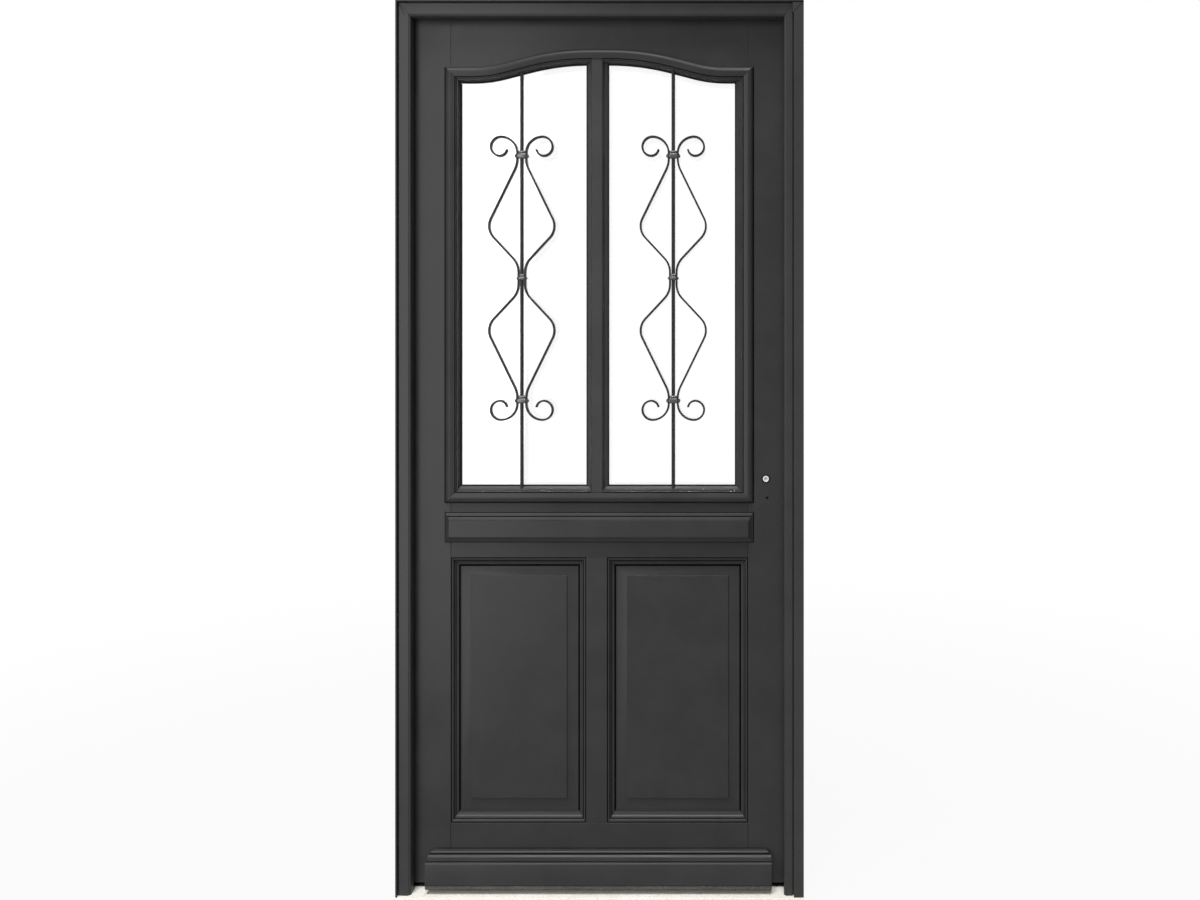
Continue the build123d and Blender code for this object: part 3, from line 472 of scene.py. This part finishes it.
def screwHeads(name, x, y, heights, toward, body):
    # a low dome for each head and a near-black bar across it, painting the shade in its slot
    r, bar = lock["screwRadius"], lock["slotHalf"]
    dome = sorted((x - toward * lock["screwSunk"], x + toward * lock["screwDome"]))
    cut = sorted((x - toward * lock["screwSunk"], x + toward * (lock["screwDome"] + lock["slotProud"])))
    for i, z in enumerate(heights):
        swollenBlock(
            name + str(i), (dome[0], y - r, z - r), (dome[1], y + r, z + r), 1.0, body, brushedSteel,
            "lock_steel", rows=12,
        )
        swollenBlock(
            name + str(i) + "_slot", (cut[0], y - r * 0.7, z - bar), (cut[1], y + r * 0.7, z + bar), 0.3, body,
            paintedShade, "lock_steel", around=16, rows=8,
        )


screwHeads("faceplate_screw", high.x, across, lock["screws"], 1, "leaf")
screwHeads("strike_screw", strikeFace, across, lock["strikeScrews"], -1, "frame")
print("clips, latch, bolt and screws made")

# Double glazing: each pane is the CAD outline flattened to its own thickness

pane = {"thickness": 0.004}
for side in ("left", "right"):
    low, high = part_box("glass_" + side)
    for layer, front in (("outer", low.y), ("inner", high.y - pane["thickness"])):
        mesh = mergedCopy("glass_" + side)
        points = np.zeros(len(mesh.vertices) * 3, np.float32)
        mesh.vertices.foreach_get("co", points)
        points = points.reshape(-1, 3)
        points[:, 1] = np.where(points[:, 1] < (low.y + high.y) / 2, front, front + pane["thickness"])
        mesh.vertices.foreach_set("co", points.ravel())
        mesh.materials.append(floatGlass)
        mesh.shade_flat()
        replaced = ["glass_" + side] if layer == "outer" else []
        placePiece("pane_" + layer + "_" + side, mesh, "leaf", "glass", replaced)

# The arch as a height over x: level ends, a hollow arc, a straight slope and a crowned arc, inset alike

arch = {"slope": math.radians(14.5), "shoulderRadius": 0.283, "crownRadius": 0.620, "crownFlat": 0.050}
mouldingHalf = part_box("moulding_top")[1].x
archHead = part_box("moulding_left")[1].z
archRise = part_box("moulding_top")[1].z - archHead
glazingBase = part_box("moulding_left")[0].z
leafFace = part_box("hinge_stile")[0].y
mullionMiddle = (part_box("mullion")[0].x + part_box("mullion")[1].x) / 2


def archHeight(x, inset):
    # an inset makes the crown's radius smaller and the hollow's larger; the slope keeps its angle
    sine, cosine = math.sin(arch["slope"]), math.cos(arch["slope"])
    radii = arch["shoulderRadius"] + arch["crownRadius"]
    run = (archRise - radii * (1 - cosine)) / sine
    knee = arch["crownFlat"] / 2 + radii * sine + run * cosine
    crown, hollow = arch["crownRadius"] - inset, arch["shoulderRadius"] + inset
    out = np.abs(x)
    crownEnd = arch["crownFlat"] / 2 + crown * sine
    hollowEnd = knee - hollow * sine
    beyond = np.clip(out - arch["crownFlat"] / 2, 0, crown * sine)
    top = archHead + archRise - arch["crownRadius"] + np.sqrt(crown ** 2 - beyond ** 2)
    within = np.clip(knee - out, 0, hollow * sine)
    foot = archHead + arch["shoulderRadius"] - np.sqrt(hollow ** 2 - within ** 2)
    crownLow = archHead + archRise - arch["crownRadius"] + crown * cosine
    hollowHigh = archHead + arch["shoulderRadius"] - hollow * cosine
    share = np.clip((out - crownEnd) / (hollowEnd - crownEnd), 0, 1)
    slope = crownLow + (hollowHigh - crownLow) * share
    return np.where(out < crownEnd, top, np.where(out > hollowEnd, foot, slope))


def carrySection(name, path, section, face, finish, replaces, dark=(), slot="painted_wood"):
    # a moulding: path gives the line at an inset, section holds (inset, height off the face) in mm, closed;
    # every section point runs its own inset line, so that the ends come out mitred; dark names the section
    # edges painted near black, as painted shade in a quirk or joint
    section = np.asarray(section) / 1000
    lines = np.stack([path(inset) for inset in section[:, 0]], axis=1)
    height = np.broadcast_to(face - section[:, 1], lines.shape[:2])
    points = np.stack([lines[:, :, 0], height, lines[:, :, 1]], axis=2)
    stations, corners = points.shape[:2]
    mesh = bpy.data.meshes.new(name)
    quads = gridFaces(stations, corners, closeColumns=True)
    caps = [list(range(corners)), [(stations - 1) * corners + k for k in range(corners)]]
    mesh.from_pydata(points.reshape(-1, 3), [], quads.tolist() + caps)
    mesh.materials.append(finish)
    mesh.materials.append(paintedShade)
    # the dark edges take the near-black painted shade
    index = np.zeros(len(quads) + 2, np.int32)
    index[:-2][np.isin(quads[:, 0] % corners, dark)] = 1
    mesh.polygons.foreach_set("material_index", index)
    shape = bmesh.new()
    shape.from_mesh(mesh)
    bmesh.ops.recalc_face_normals(shape, faces=shape.faces)
    shape.to_mesh(mesh)
    shape.free()
    mesh.shade_smooth()
    mesh.set_sharp_from_angle(angle=math.radians(30))
    placePiece(name, mesh, "leaf", slot, replaces)


# Bolection moulding round the glazing: a crowned outer roll, a hollow, a quirk, a bead and a slope to the glass
bolection = {
    "gap": 0.0002,    # half the joint left between two mitred lengths
    "section": [
        (0, 0), (0, 1.4), (0.5, 3.2), (1.6, 5.0), (3.4, 6.8), (5.8, 8.5), (8.6, 9.9), (11.4, 10.8), (12.8, 11),
        (13.8, 10.8), (23.6, 6.6), (23.8, 3.2), (25.2, 3.2), (25.4, 5.2), (26.1, 5.9), (27.0, 5.6), (28.7, 2.4),
        (30.6, 2.0), (31.2, 2.1), (33.2, -0.4), (36.0, -2.6), (38.6, -5.0), (40, -6.2), (40, -12), (13, -12), (13, 0),
    ],
    # the quirk's floor, near black as painted shade
    "dark": (11,),
    "fillet": 0.0313,    # inset of the last fillet; the slope inside it is as wide as each side needs
    "lip": 0.040,
    "lips": {"left": 0.0348, "right": 0.0420, "foot": 0.0390, "head": 0.0343},
}


def glazingInset(side, inset):
    # a section inset turned into that side's own
    fillet, lip, own = bolection["fillet"], bolection["lip"], bolection["lips"][side]
    if inset <= fillet:
        return inset
    if inset <= lip:
        return fillet + (inset - fillet) * (own - fillet) / (lip - fillet)
    return own + inset - lip


def glazingSide(side):
    # upright line at an inset, from foot to head
    def path(inset):
        x = {"left": -1, "right": 1}[side] * (mouldingHalf - glazingInset(side, inset))
        foot = glazingBase + glazingInset("foot", inset) + bolection["gap"]
        head = archHead - glazingInset("head", inset) - bolection["gap"]
        return np.array([[x, foot], [x, head]])
    return path


def glazingFoot(inset):
    left = glazingInset("left", inset) + bolection["gap"] - mouldingHalf
    right = mouldingHalf - glazingInset("right", inset) - bolection["gap"]
    z = glazingBase + glazingInset("foot", inset)
    return np.array([[left, z], [right, z]])


def glazingHead(inset):
    left = glazingInset("left", inset) + bolection["gap"] - mouldingHalf
    right = mouldingHalf - glazingInset("right", inset) - bolection["gap"]
    x = np.linspace(left, right, 161)
    return np.stack([x, archHeight(x, glazingInset("head", inset))], axis=1)


for name, path, finish in (
    ("moulding_left", glazingSide("left"), uprightPaint), ("moulding_right", glazingSide("right"), uprightPaint),
    ("moulding_bottom", glazingFoot, levelPaint), ("moulding_top", glazingHead, levelPaint),
):
    carrySection(name + "_run", path, bolection["section"], leafFace, finish, [name], bolection["dark"])

# Mullion: a flat face between two stepped slopes, lips on both sides of the glass
mullion = {
    # (offset from the middle, height off the leaf's face) in mm, one half, outside and behind the glass's front
    "front": [
        (12.0, 5.0), (12.3, 4.0), (12.9, 4.0), (13.2, 4.6), (17.8, -0.6), (18.2, -2.0), (24.7, -6.0), (24.7, -12),
    ],
    "back": [(12.0, -12), (12.0, -36), (23.0, -36), (23.0, -37.0), (12.0, -55.6)],
    # inset of the ends from the glazing's edge: under the moulding in front, against the bead behind
    "ends": {"front": 0.013, "back": 0.0245},
}
for part in ("front", "back"):
    def mullionPath(offset, end=mullion["ends"][part]):
        x = mullionMiddle + offset
        return np.array([[x, glazingBase + end], [x, archHeight(x, end)]])
    section = [(-x, y) for x, y in mullion[part]][::-1] + mullion[part]
    # the mullion takes the frame's lighter coat, painted light
    carrySection("mullion_" + part, mullionPath, section, leafFace, uprightFramePaintedLight, ["mullion"])

# Glazing gaskets: black, just showing inside the lips
gasket = {
    # (inset, height off the leaf's face) in mm, round the lights, and the same from the mullion's lip
    "section": [(38.6, -6.5), (43.0, -6.9), (43.0, -12), (38.6, -12)],
    "mullionSection": [(-1.5, -6.5), (3.0, -6.9), (3.0, -12), (-1.5, -12)],
    "half": 0.0247,
}
for name, path in (
    ("left", glazingSide("left")), ("right", glazingSide("right")), ("foot", glazingFoot), ("head", glazingHead),
):
    carrySection("gasket_" + name, path, gasket["section"], leafFace, gasketRubber, [], slot="seal")
for side, sign in (("left", -1), ("right", 1)):
    def gasketPath(offset, sign=sign):
        x = mullionMiddle + sign * (gasket["half"] + offset)
        foot = glazingBase + bolection["lips"]["foot"]
        return np.array([[x, foot], [x, archHeight(x, bolection["lips"]["head"])]])
    carrySection(
        "gasket_mullion_" + side, gasketPath, gasket["mullionSection"], leafFace, gasketRubber, [], slot="seal"
    )

# Sunk moulding round each panel: an ovolo between two open joints, then a hollow down to the panel
sunk = {
    "gap": 0.0002,
    "width": {"side": 22, "head": 24.5, "foot": 28.5},
    "section": [
        (0, -14), (0, -5.0), (1.7, -5.0), (1.9, -1.8), (2.4, -1.2), (3.6, -1.3), (5.0, -2.0), (6.1, -3.4),
        (6.4, -7.4), (7.8, -7.4), (8.1, -4.8), (9.4, -5.2), (10.4, -7.8), (12.0, -10.0), (13.6, -11.0),
        (16.4, -11.2), (16.7, -11.6), (16.8, -13.6), (20.8, -13.6), (21.0, -13.0), (22, -13.0), (22, -14),
    ],
    # floors and walls of the joints and grooves, near black as painted shade; at the foot only the middle groove's
    # floor
    "dark": (1, 2, 8, 16, 17, 18),
    "footDark": (8,),
}
for side in ("left", "right"):
    low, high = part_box("panel_moulding_" + side)

    def ringPath(edge, low=low, high=high):
        # line along one edge of the opening; the inset is a share of that edge's own width
        side, head, foot = (sunk["width"][key] / sunk["section"][-1][0] for key in ("side", "head", "foot"))
        gap = sunk["gap"]

        def path(inset):
            x0, x1 = low.x + inset * side, high.x - inset * side
            z0, z1 = low.z + inset * foot, high.z - inset * head
            return np.array({
                "left": [[x0, z0 + gap], [x0, z1 - gap]], "right": [[x1, z0 + gap], [x1, z1 - gap]],
                "foot": [[x0 + gap, z0], [x1 - gap, z0]], "head": [[x0 + gap, z1], [x1 - gap, z1]],
            }[edge])
        return path

    for edge, finish in (("left", uprightPaint), ("right", uprightPaint), ("foot", levelPaint), ("head", levelPaint)):
        carrySection(
            "panel_" + side + "_" + edge + "_run", ringPath(edge), sunk["section"], leafFace, finish,
            ["panel_moulding_" + side], sunk["footDark" if edge == "foot" else "dark"],
        )

# Raised band: bevels mitred at the corners, the top one in two with a quirk between
low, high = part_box("rail_band")
band = {
    "bevel": {"left": 0.0112, "right": 0.0120, "foot": 0.0130, "head": 0.0195},
    "height": 0.0120,
    # (share of the bevel's width, height off the face in mm)
    "plain": [(0, 0), (0, 2.0), (0.84, 9.4), (0.98, 11.8), (1, 12), (1, 0)],
    "stepped": [
        (0, 0), (0, 0.3), (0.08, 0.3), (0.08, 2.2), (0.18, 3.4), (0.44, 4.8), (0.46, 2.4), (0.54, 2.4), (0.57, 4.6),
        (0.86, 7.4), (0.96, 11.2), (0.99, 12), (1, 12), (1, 0),
    ],
    # the head joint's floor and the quirk's floor, near black as painted shade
    "dark": (1, 6),
}


def bandPath(edge):
    def path(share):
        share = share * 1000
        x0, x1 = low.x + band["bevel"]["left"] * share, high.x - band["bevel"]["right"] * share
        z0, z1 = low.z + band["bevel"]["foot"] * share, high.z - band["bevel"]["head"] * share
        ends = {
            "left": (x0, z0, x0, z1), "right": (x1, z0, x1, z1),
            "foot": (x0, z0, x1, z0), "head": (x0, z1, x1, z1),
        }
        return np.reshape(ends[edge], (2, 2))
    return path


for edge in ("left", "right", "foot", "head"):
    stepped = edge == "head"
    carrySection(
        "band_" + edge, bandPath(edge), band["stepped" if stepped else "plain"], leafFace, levelPaint, ["rail_band"],
        band["dark"] if stepped else (),
    )
# the foot's line and the head's line at the bevels' inner edge bound the flat field
field = np.concatenate([bandPath("foot")(0.001), bandPath("head")(0.001)[::-1]])
meshPiece(
    "band_field", boxPoints(field, leafFace - band["height"], leafFace), boxFaces, "leaf", levelPaint,
    "painted_wood", ["rail_band"],
)

# Weatherboard: two ridges with quirks over a plain face, its top corners rounded
low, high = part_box("weatherboard")
board = {
    "corner": 0.017,         # radius of the top corners
    "strip": 11.5,           # height of the drip strip in mm
    "stripSetback": 1.5,     # how far it lies behind the board's face
    # (depth below the top, projection) in mm from the leaf down to the arris
    "section": [
        (0, 0), (0.8, 2.0), (1.4, 5.0), (1.8, 7.6), (2.6, 9.4), (4.0, 10.8), (4.8, 11.2), (5.6, 10.8), (6.0, 9.4),
        (7.8, 9.4), (11.2, 9.4), (11.4, 9.8), (13.0, 11.2), (15.2, 14.4), (15.8, 16.4), (16.6, 26.0), (17.0, 27.2),
        (17.4, 26.4), (18.6, 26.4), (18.8, 30.6), (19.4, 32.6), (20.6, 34.2), (22.4, 35.0),
    ],
    # the floors of the two quirks, near black as painted shade
    "dark": (8, 17),
}
depth = (high.z - low.z) * 1000
face, stripTop = board["section"][-1][1], depth - board["strip"]
section = board["section"] + [(stripTop - 0.8, face), (stripTop, face - 0.8), (stripTop, 0)]


def boardPath(below):
    # the rounded corner shortens the length near the top
    short = max(board["corner"] - below, 0)
    inset = board["corner"] - math.sqrt(board["corner"] ** 2 - short ** 2)
    z = high.z - below
    return np.array([[low.x + inset, z], [high.x - inset, z]])


carrySection("weatherboard_run", boardPath, section, leafFace, levelPaint, ["weatherboard"], board["dark"])
# the drip strip's face between a quirk over it and one under it, the quirks' floors near black as painted shade
face -= board["stripSetback"]
section = [
    (stripTop + 0.05, 0), (stripTop + 0.05, face - 1.6), (stripTop + 1.0, face - 1.6), (stripTop + 1.2, face),
    (depth - 1.6, face), (depth - 1.4, face - 1.4), (depth, face - 1.4), (depth, 0),
]
carrySection("drip_strip", boardPath, section, leafFace, dripStripWithPaintedBounce, ["weatherboard"], (1, 5))
print("mouldings carried round")

# The lock's follower seen in the handle bore, and near-black linings that paint the shade inside the bore and the
# screw hole

bore = {
    "x": 0.407, "z": 1.019, "radius": 0.010,
    "pilotX": 0.410, "pilotZ": 0.973, "pilotRadius": 0.0025,
    "sides": 48,
    "square": 0.0024,     # half the spindle hole's side
    # (radius, depth behind the leaf's face) in mm, each a closed ring
    # the bore's near-black lining and the screw hole's, painted shade
    "lining": [(11.4, -0.15), (10.3, 0.3), (9.6, 2.4), (7.6, 2.6), (7.6, 3.4), (11.4, 3.4)],
    "bush": [(7.5, 1.0), (7.1, 0.3), (4.6, 0.2), (4.1, 0.7), (4.0, 3.2), (4.0, 11.9), (7.5, 11.9)],
    "pilot": [(4.0, -0.12), (2.8, 0.2), (2.4, 1.6), (0, 1.8), (0, 2.4), (4.0, 2.4)],
    "hub": [(3.9, 11.9), (3.9, 1.2), (3.7, 0.9), (3.5, 0.9), (3.5, 11.9)],
    "hubFloor": [(3.9, 1.8), (0, 1.7), (0, 6.0), (3.9, 6.0)],
}


def turnedPiece(name, x, z, profile, finish, slot, replaces=(), inner=None):
    # a closed section turned round an axis along y; where inner is given the last two rows follow that outline
    turn = np.linspace(0, 2 * math.pi, bore["sides"], endpoint=False)
    profile = np.asarray(profile) / 1000
    radii = np.repeat(profile[:, :1], len(turn), axis=1)
    if inner is not None:
        radii[-2:] = inner(turn)
    points = np.stack([
        x + radii * np.cos(turn), leafFace + np.repeat(profile[:, 1:], len(turn), axis=1), z + radii * np.sin(turn),
    ], axis=2)
    faces = gridFaces(len(profile), len(turn), closeRows=True, closeColumns=True)
    piece = meshPiece(name, points, faces, "leaf", finish, slot, replaces)
    closeAndTurnOut(piece.data)


def spindleHole(turn):
    # a square stood on its corner
    turned = turn + math.pi / 4
    return bore["square"] / np.maximum(np.abs(np.cos(turned)), np.abs(np.sin(turned)))


# painted shade: near-black linings inside the bore and the screw hole
turnedPiece("bore_painted_shade", bore["x"], bore["z"], bore["lining"], paintedShade, "painted_wood")
turnedPiece("screw_hole_painted_shade", bore["pilotX"], bore["pilotZ"], bore["pilot"], paintedShade, "painted_wood")
turnedPiece("lock_bush", bore["x"], bore["z"], bore["bush"], nylonBush, "bush", ["follower_bush"])
turnedPiece("lock_hub", bore["x"], bore["z"], bore["hub"], castHub, "bush", ["follower_bush"], spindleHole)
turnedPiece("lock_hub_floor", bore["x"], bore["z"], bore["hubFloor"], castHub, "bush", ["follower_bush"])
print("handle bore fitted")

# Open joints: hair-thin near-black lines of painted shade where pieces meet under the paint

joints = {
    "proud": 0.00012, "depth": 0.0003,
    # width in metres of the line at each place
    "moulding": 0.0019, "mouldingLeft": 0.0026, "band": 0.0019, "shoulder": 0.0009, "faint": 0.00035,
    "board": 0.0016,
    "boardEnd": 0.016,    # how far the line over the weatherboard stops short of its rounded corners
}


def ribbonBoxes(name, ribbons, body):
    # each ribbon is x0, z0, x1, z1 and the face it lies on: a box with eight corners, standing proud by a hair
    boxes = np.asarray(ribbons)
    x = boxes[:, [0, 2, 2, 0]]
    z = boxes[:, [1, 1, 3, 3]]
    face = boxes[:, 4:5]
    front = np.stack([x, np.broadcast_to(face - joints["proud"], x.shape), z], axis=2)
    back = np.stack([x, np.broadcast_to(face + joints["depth"], x.shape), z], axis=2)
    points = np.concatenate([front, back], axis=1)
    faces = (np.arange(len(boxes))[:, None, None] * 8 + boxFaces).reshape(-1, 4)
    meshPiece(name, points, faces, body, paintedShade, "painted_wood")


def frameOf(low, high, width, face):
    # four ribbons just outside a rectangle
    return [
        (low.x - width, low.z - width, low.x, high.z + width, face),
        (high.x, low.z - width, high.x + width, high.z + width, face),
        (low.x, low.z - width, high.x, low.z, face),
        (low.x, high.z, high.x, high.z + width, face),
    ]


low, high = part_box("rail_band")
ribbons = frameOf(low, high, joints["band"], leafFace)[:3]    # the head's joint is in its own section
width = joints["moulding"]
ribbons += [
    (-mouldingHalf - joints["mouldingLeft"], glazingBase - width, -mouldingHalf, archHead, leafFace),
    (mouldingHalf, glazingBase - width, mouldingHalf + width, archHead, leafFace),
    (-mouldingHalf, glazingBase - width, mouldingHalf, glazingBase, leafFace),
]
# shoulders of the rails on the stiles: open at the foot, all but filled higher up
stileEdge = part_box("hinge_stile")[1].x
for key, bottom, top in (
    ("shoulder", max(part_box("bottom_rail")[0].z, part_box("weatherboard")[1].z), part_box("bottom_rail")[1].z),
    ("faint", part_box("lock_rail")[0].z, glazingBase),
):
    for x in (-abs(stileEdge), abs(stileEdge)):
        ribbons.append((x - joints[key] / 2, bottom, x + joints[key] / 2, top, leafFace))
low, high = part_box("weatherboard")
ribbons.append((
    low.x + joints["boardEnd"], high.z, high.x - joints["boardEnd"], high.z + joints["board"], leafFace,
))
# the ribbons are near-black painted shade lying on the face
ribbonBoxes("leaf_joint_painted_shade", ribbons, "leaf")

# mitres of the frame's head: a slim near-black bar of painted shade along each slanting line, from and to (x, z), on
# its own face
mitre = {"width": 0.0011, "lines": [
    ((-0.4630, 2.1410), (-0.4795, 2.1705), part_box("hinge_jamb")[0].y),
    ((0.4735, 2.1480), (0.4960, 2.1715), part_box("trim_strip_lock")[0].y),
]}
for i, (start, end, face) in enumerate(mitre["lines"]):
    start, end = np.asarray(start), np.asarray(end)
    along = (end - start) / np.linalg.norm(end - start)
    aside = np.array([-along[1], along[0]]) * mitre["width"] / 2
    points = boxPoints(
        [start - aside, end - aside, end + aside, start + aside], face - joints["proud"], face + joints["depth"]
    )
    meshPiece("frame_mitre_shade_" + str(i), points, boxFaces, "frame", paintedShade, "painted_wood")

# above the lock side's mitre the head runs through: its groove goes on to the edge, the upright one stops
headRun = {"mitreFoot": 2.146, "groove": 0.0025, "lap": 0.0002}
low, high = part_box("trim_strip_lock")
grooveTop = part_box("trim_strip_head")[0].z
grooveFoot = grooveTop - headRun["groove"]
# a near-black ribbon paints the shade of the head's groove where it runs on to the edge
ribbonBoxes("head_groove_shade", [(low.x, grooveFoot, high.x, grooveTop, low.y)], "frame")
x0, x1 = low.x - headRun["groove"] - headRun["lap"] / 2, low.x + headRun["lap"]
plug = boxPoints(
    [(x0, headRun["mitreFoot"]), (x1, headRun["mitreFoot"]), (x1, grooveFoot), (x0, grooveFoot)],
    low.y + headRun["lap"], high.y,
)
# the plug takes the frame's lighter coat, painted light
meshPiece("groove_plug", plug, boxFaces, "frame", levelFramePaintedLight, "painted_wood")
print("open joints drawn")


# Stage: camera, lights, floor and backdrop

# a level camera; the shift, in pixels of the picture's width, moves its vanishing point off the middle
camera = bpy.data.objects.new("camera", bpy.data.cameras.new("camera"))
bpy.context.scene.collection.objects.link(camera)
camera.location = (0.351, -2.400, 1.3465)
camera.rotation_euler = (math.radians(90), 0, 0)
camera.data.sensor_width = 36
camera.data.lens = 30
camera.data.shift_x = -143 / 1200
camera.data.shift_y = -105 / 1200
camera.data.clip_start = 0.01
bpy.context.scene.camera = camera


def softBox(name, place, aim, width, height, power):
    lamp = bpy.data.lights.new(name, "AREA")
    lamp.shape = "RECTANGLE"
    lamp.size, lamp.size_y = width, height
    lamp.energy = power
    box = bpy.data.objects.new(name, lamp)
    bpy.context.scene.collection.objects.link(box)
    box.location = place
    box.rotation_euler = (Vector(aim) - Vector(place)).to_track_quat("-Z", "Y").to_euler()
    return box


softBox("left_box", (-0.75, -1.3, 1.5), (0.05, 0, 1.25), 0.6, 3.0, 17.6)

# a low front box that lights the threshold alone, as far as under the weatherboard
sillFill = softBox("sill_fill", (0.1, -2.0, 0.95), (0.05, 0, 0.02), 1.6, 0.3, 8)
lit = bpy.data.collections.new("lit_by_sill_fill")
lit.objects.link(bpy.data.objects["threshold_eased"])
sillFill.light_linking.receiver_collection = lit


def softSun(name, direction, energy, angle):
    lamp = bpy.data.lights.new(name, "SUN")
    lamp.energy = energy
    lamp.angle = math.radians(angle)
    sun = bpy.data.objects.new(name, lamp)
    bpy.context.scene.collection.objects.link(sun)
    sun.rotation_euler = Vector(direction).to_track_quat("-Z", "Y").to_euler()


softSun("overhead", (0.06, 0.33, -0.94), 2.6, 25)
softSun("behind", (-0.35, -0.8, -0.45), 0.8, 30)    # for the inside of the door only

world = bpy.data.worlds.new("white studio")
bpy.context.scene.world = world
world.use_nodes = True
# white for camera, mirror and glass rays, faint as a light
back = world.node_tree.nodes["Background"]
back.inputs["Color"].default_value = (1, 1, 1, 1)
path = addNode(world, "ShaderNodeLightPath")
seen = addNode(
    world, "ShaderNodeMath", links={0: (path, "Is Camera Ray"), 1: (path, "Is Glossy Ray")}, operation="MAXIMUM",
)
seen = addNode(world, "ShaderNodeMath", links={0: (seen, 0), 1: (path, "Is Transmission Ray")}, operation="MAXIMUM")
level = addNode(world, "ShaderNodeMapRange", {"To Min": 0.08, "To Max": 1.0}, {"Value": (seen, 0)})
joinSockets(world, level, "Result", back, "Strength")

floorSize = 7.0
grid = np.array([[-1, -1, 0], [1, -1, 0], [1, 1, 0], [-1, 1, 0]]) * floorSize
floorMesh = bpy.data.meshes.new("floor")
floorMesh.from_pydata(grid - [0, 0, 0.0005], [], [[0, 1, 2, 3]])
floor = bpy.data.objects.new("floor", floorMesh)
bpy.context.scene.collection.objects.link(floor)
floorPaint, floorSurface = newMaterial("white studio floor", Base_Color=hexToLinear("#9c9c9a"), Roughness=0.9)
glow = addNode(floorPaint, "ShaderNodeEmission", {"Color": (1, 1, 1, 1), "Strength": 1.0})
floorPath = addNode(floorPaint, "ShaderNodeLightPath")
shown = addNode(
    floorPaint, "ShaderNodeMath", links={0: (floorPath, "Is Camera Ray"), 1: (floorPath, "Is Glossy Ray")},
    operation="MAXIMUM",
)
shown = addNode(
    floorPaint, "ShaderNodeMath", links={0: (shown, 0), 1: (floorPath, "Is Transmission Ray")}, operation="MAXIMUM",
)
# near the door the floor keeps part of its shadow, farther out it runs into the white backdrop
floorPlace = addNode(floorPaint, "ShaderNodeTexCoord")
distance = addNode(floorPaint, "ShaderNodeVectorMath", links={0: (floorPlace, "Object")}, operation="LENGTH")
fade = addNode(
    floorPaint, "ShaderNodeMapRange", {"From Min": 0.8, "From Max": 4.0, "To Min": 0.93, "To Max": 1.0},
    {"Value": (distance, "Value")}, interpolation_type="SMOOTHSTEP",
)
share = addNode(floorPaint, "ShaderNodeMath", links={0: (shown, 0), 1: (fade, "Result")}, operation="MULTIPLY")
blend = addNode(
    floorPaint, "ShaderNodeMixShader", links={0: (share, 0), 1: (floorSurface, "BSDF"), 2: (glow, "Emission")},
)
joinSockets(floorPaint, blend, "Shader", floorPaint.node_tree.nodes["Material Output"], "Surface")
floorMesh.materials.append(floorPaint)

bpy.context.scene.view_settings.view_transform = "Standard"
print("stage set")
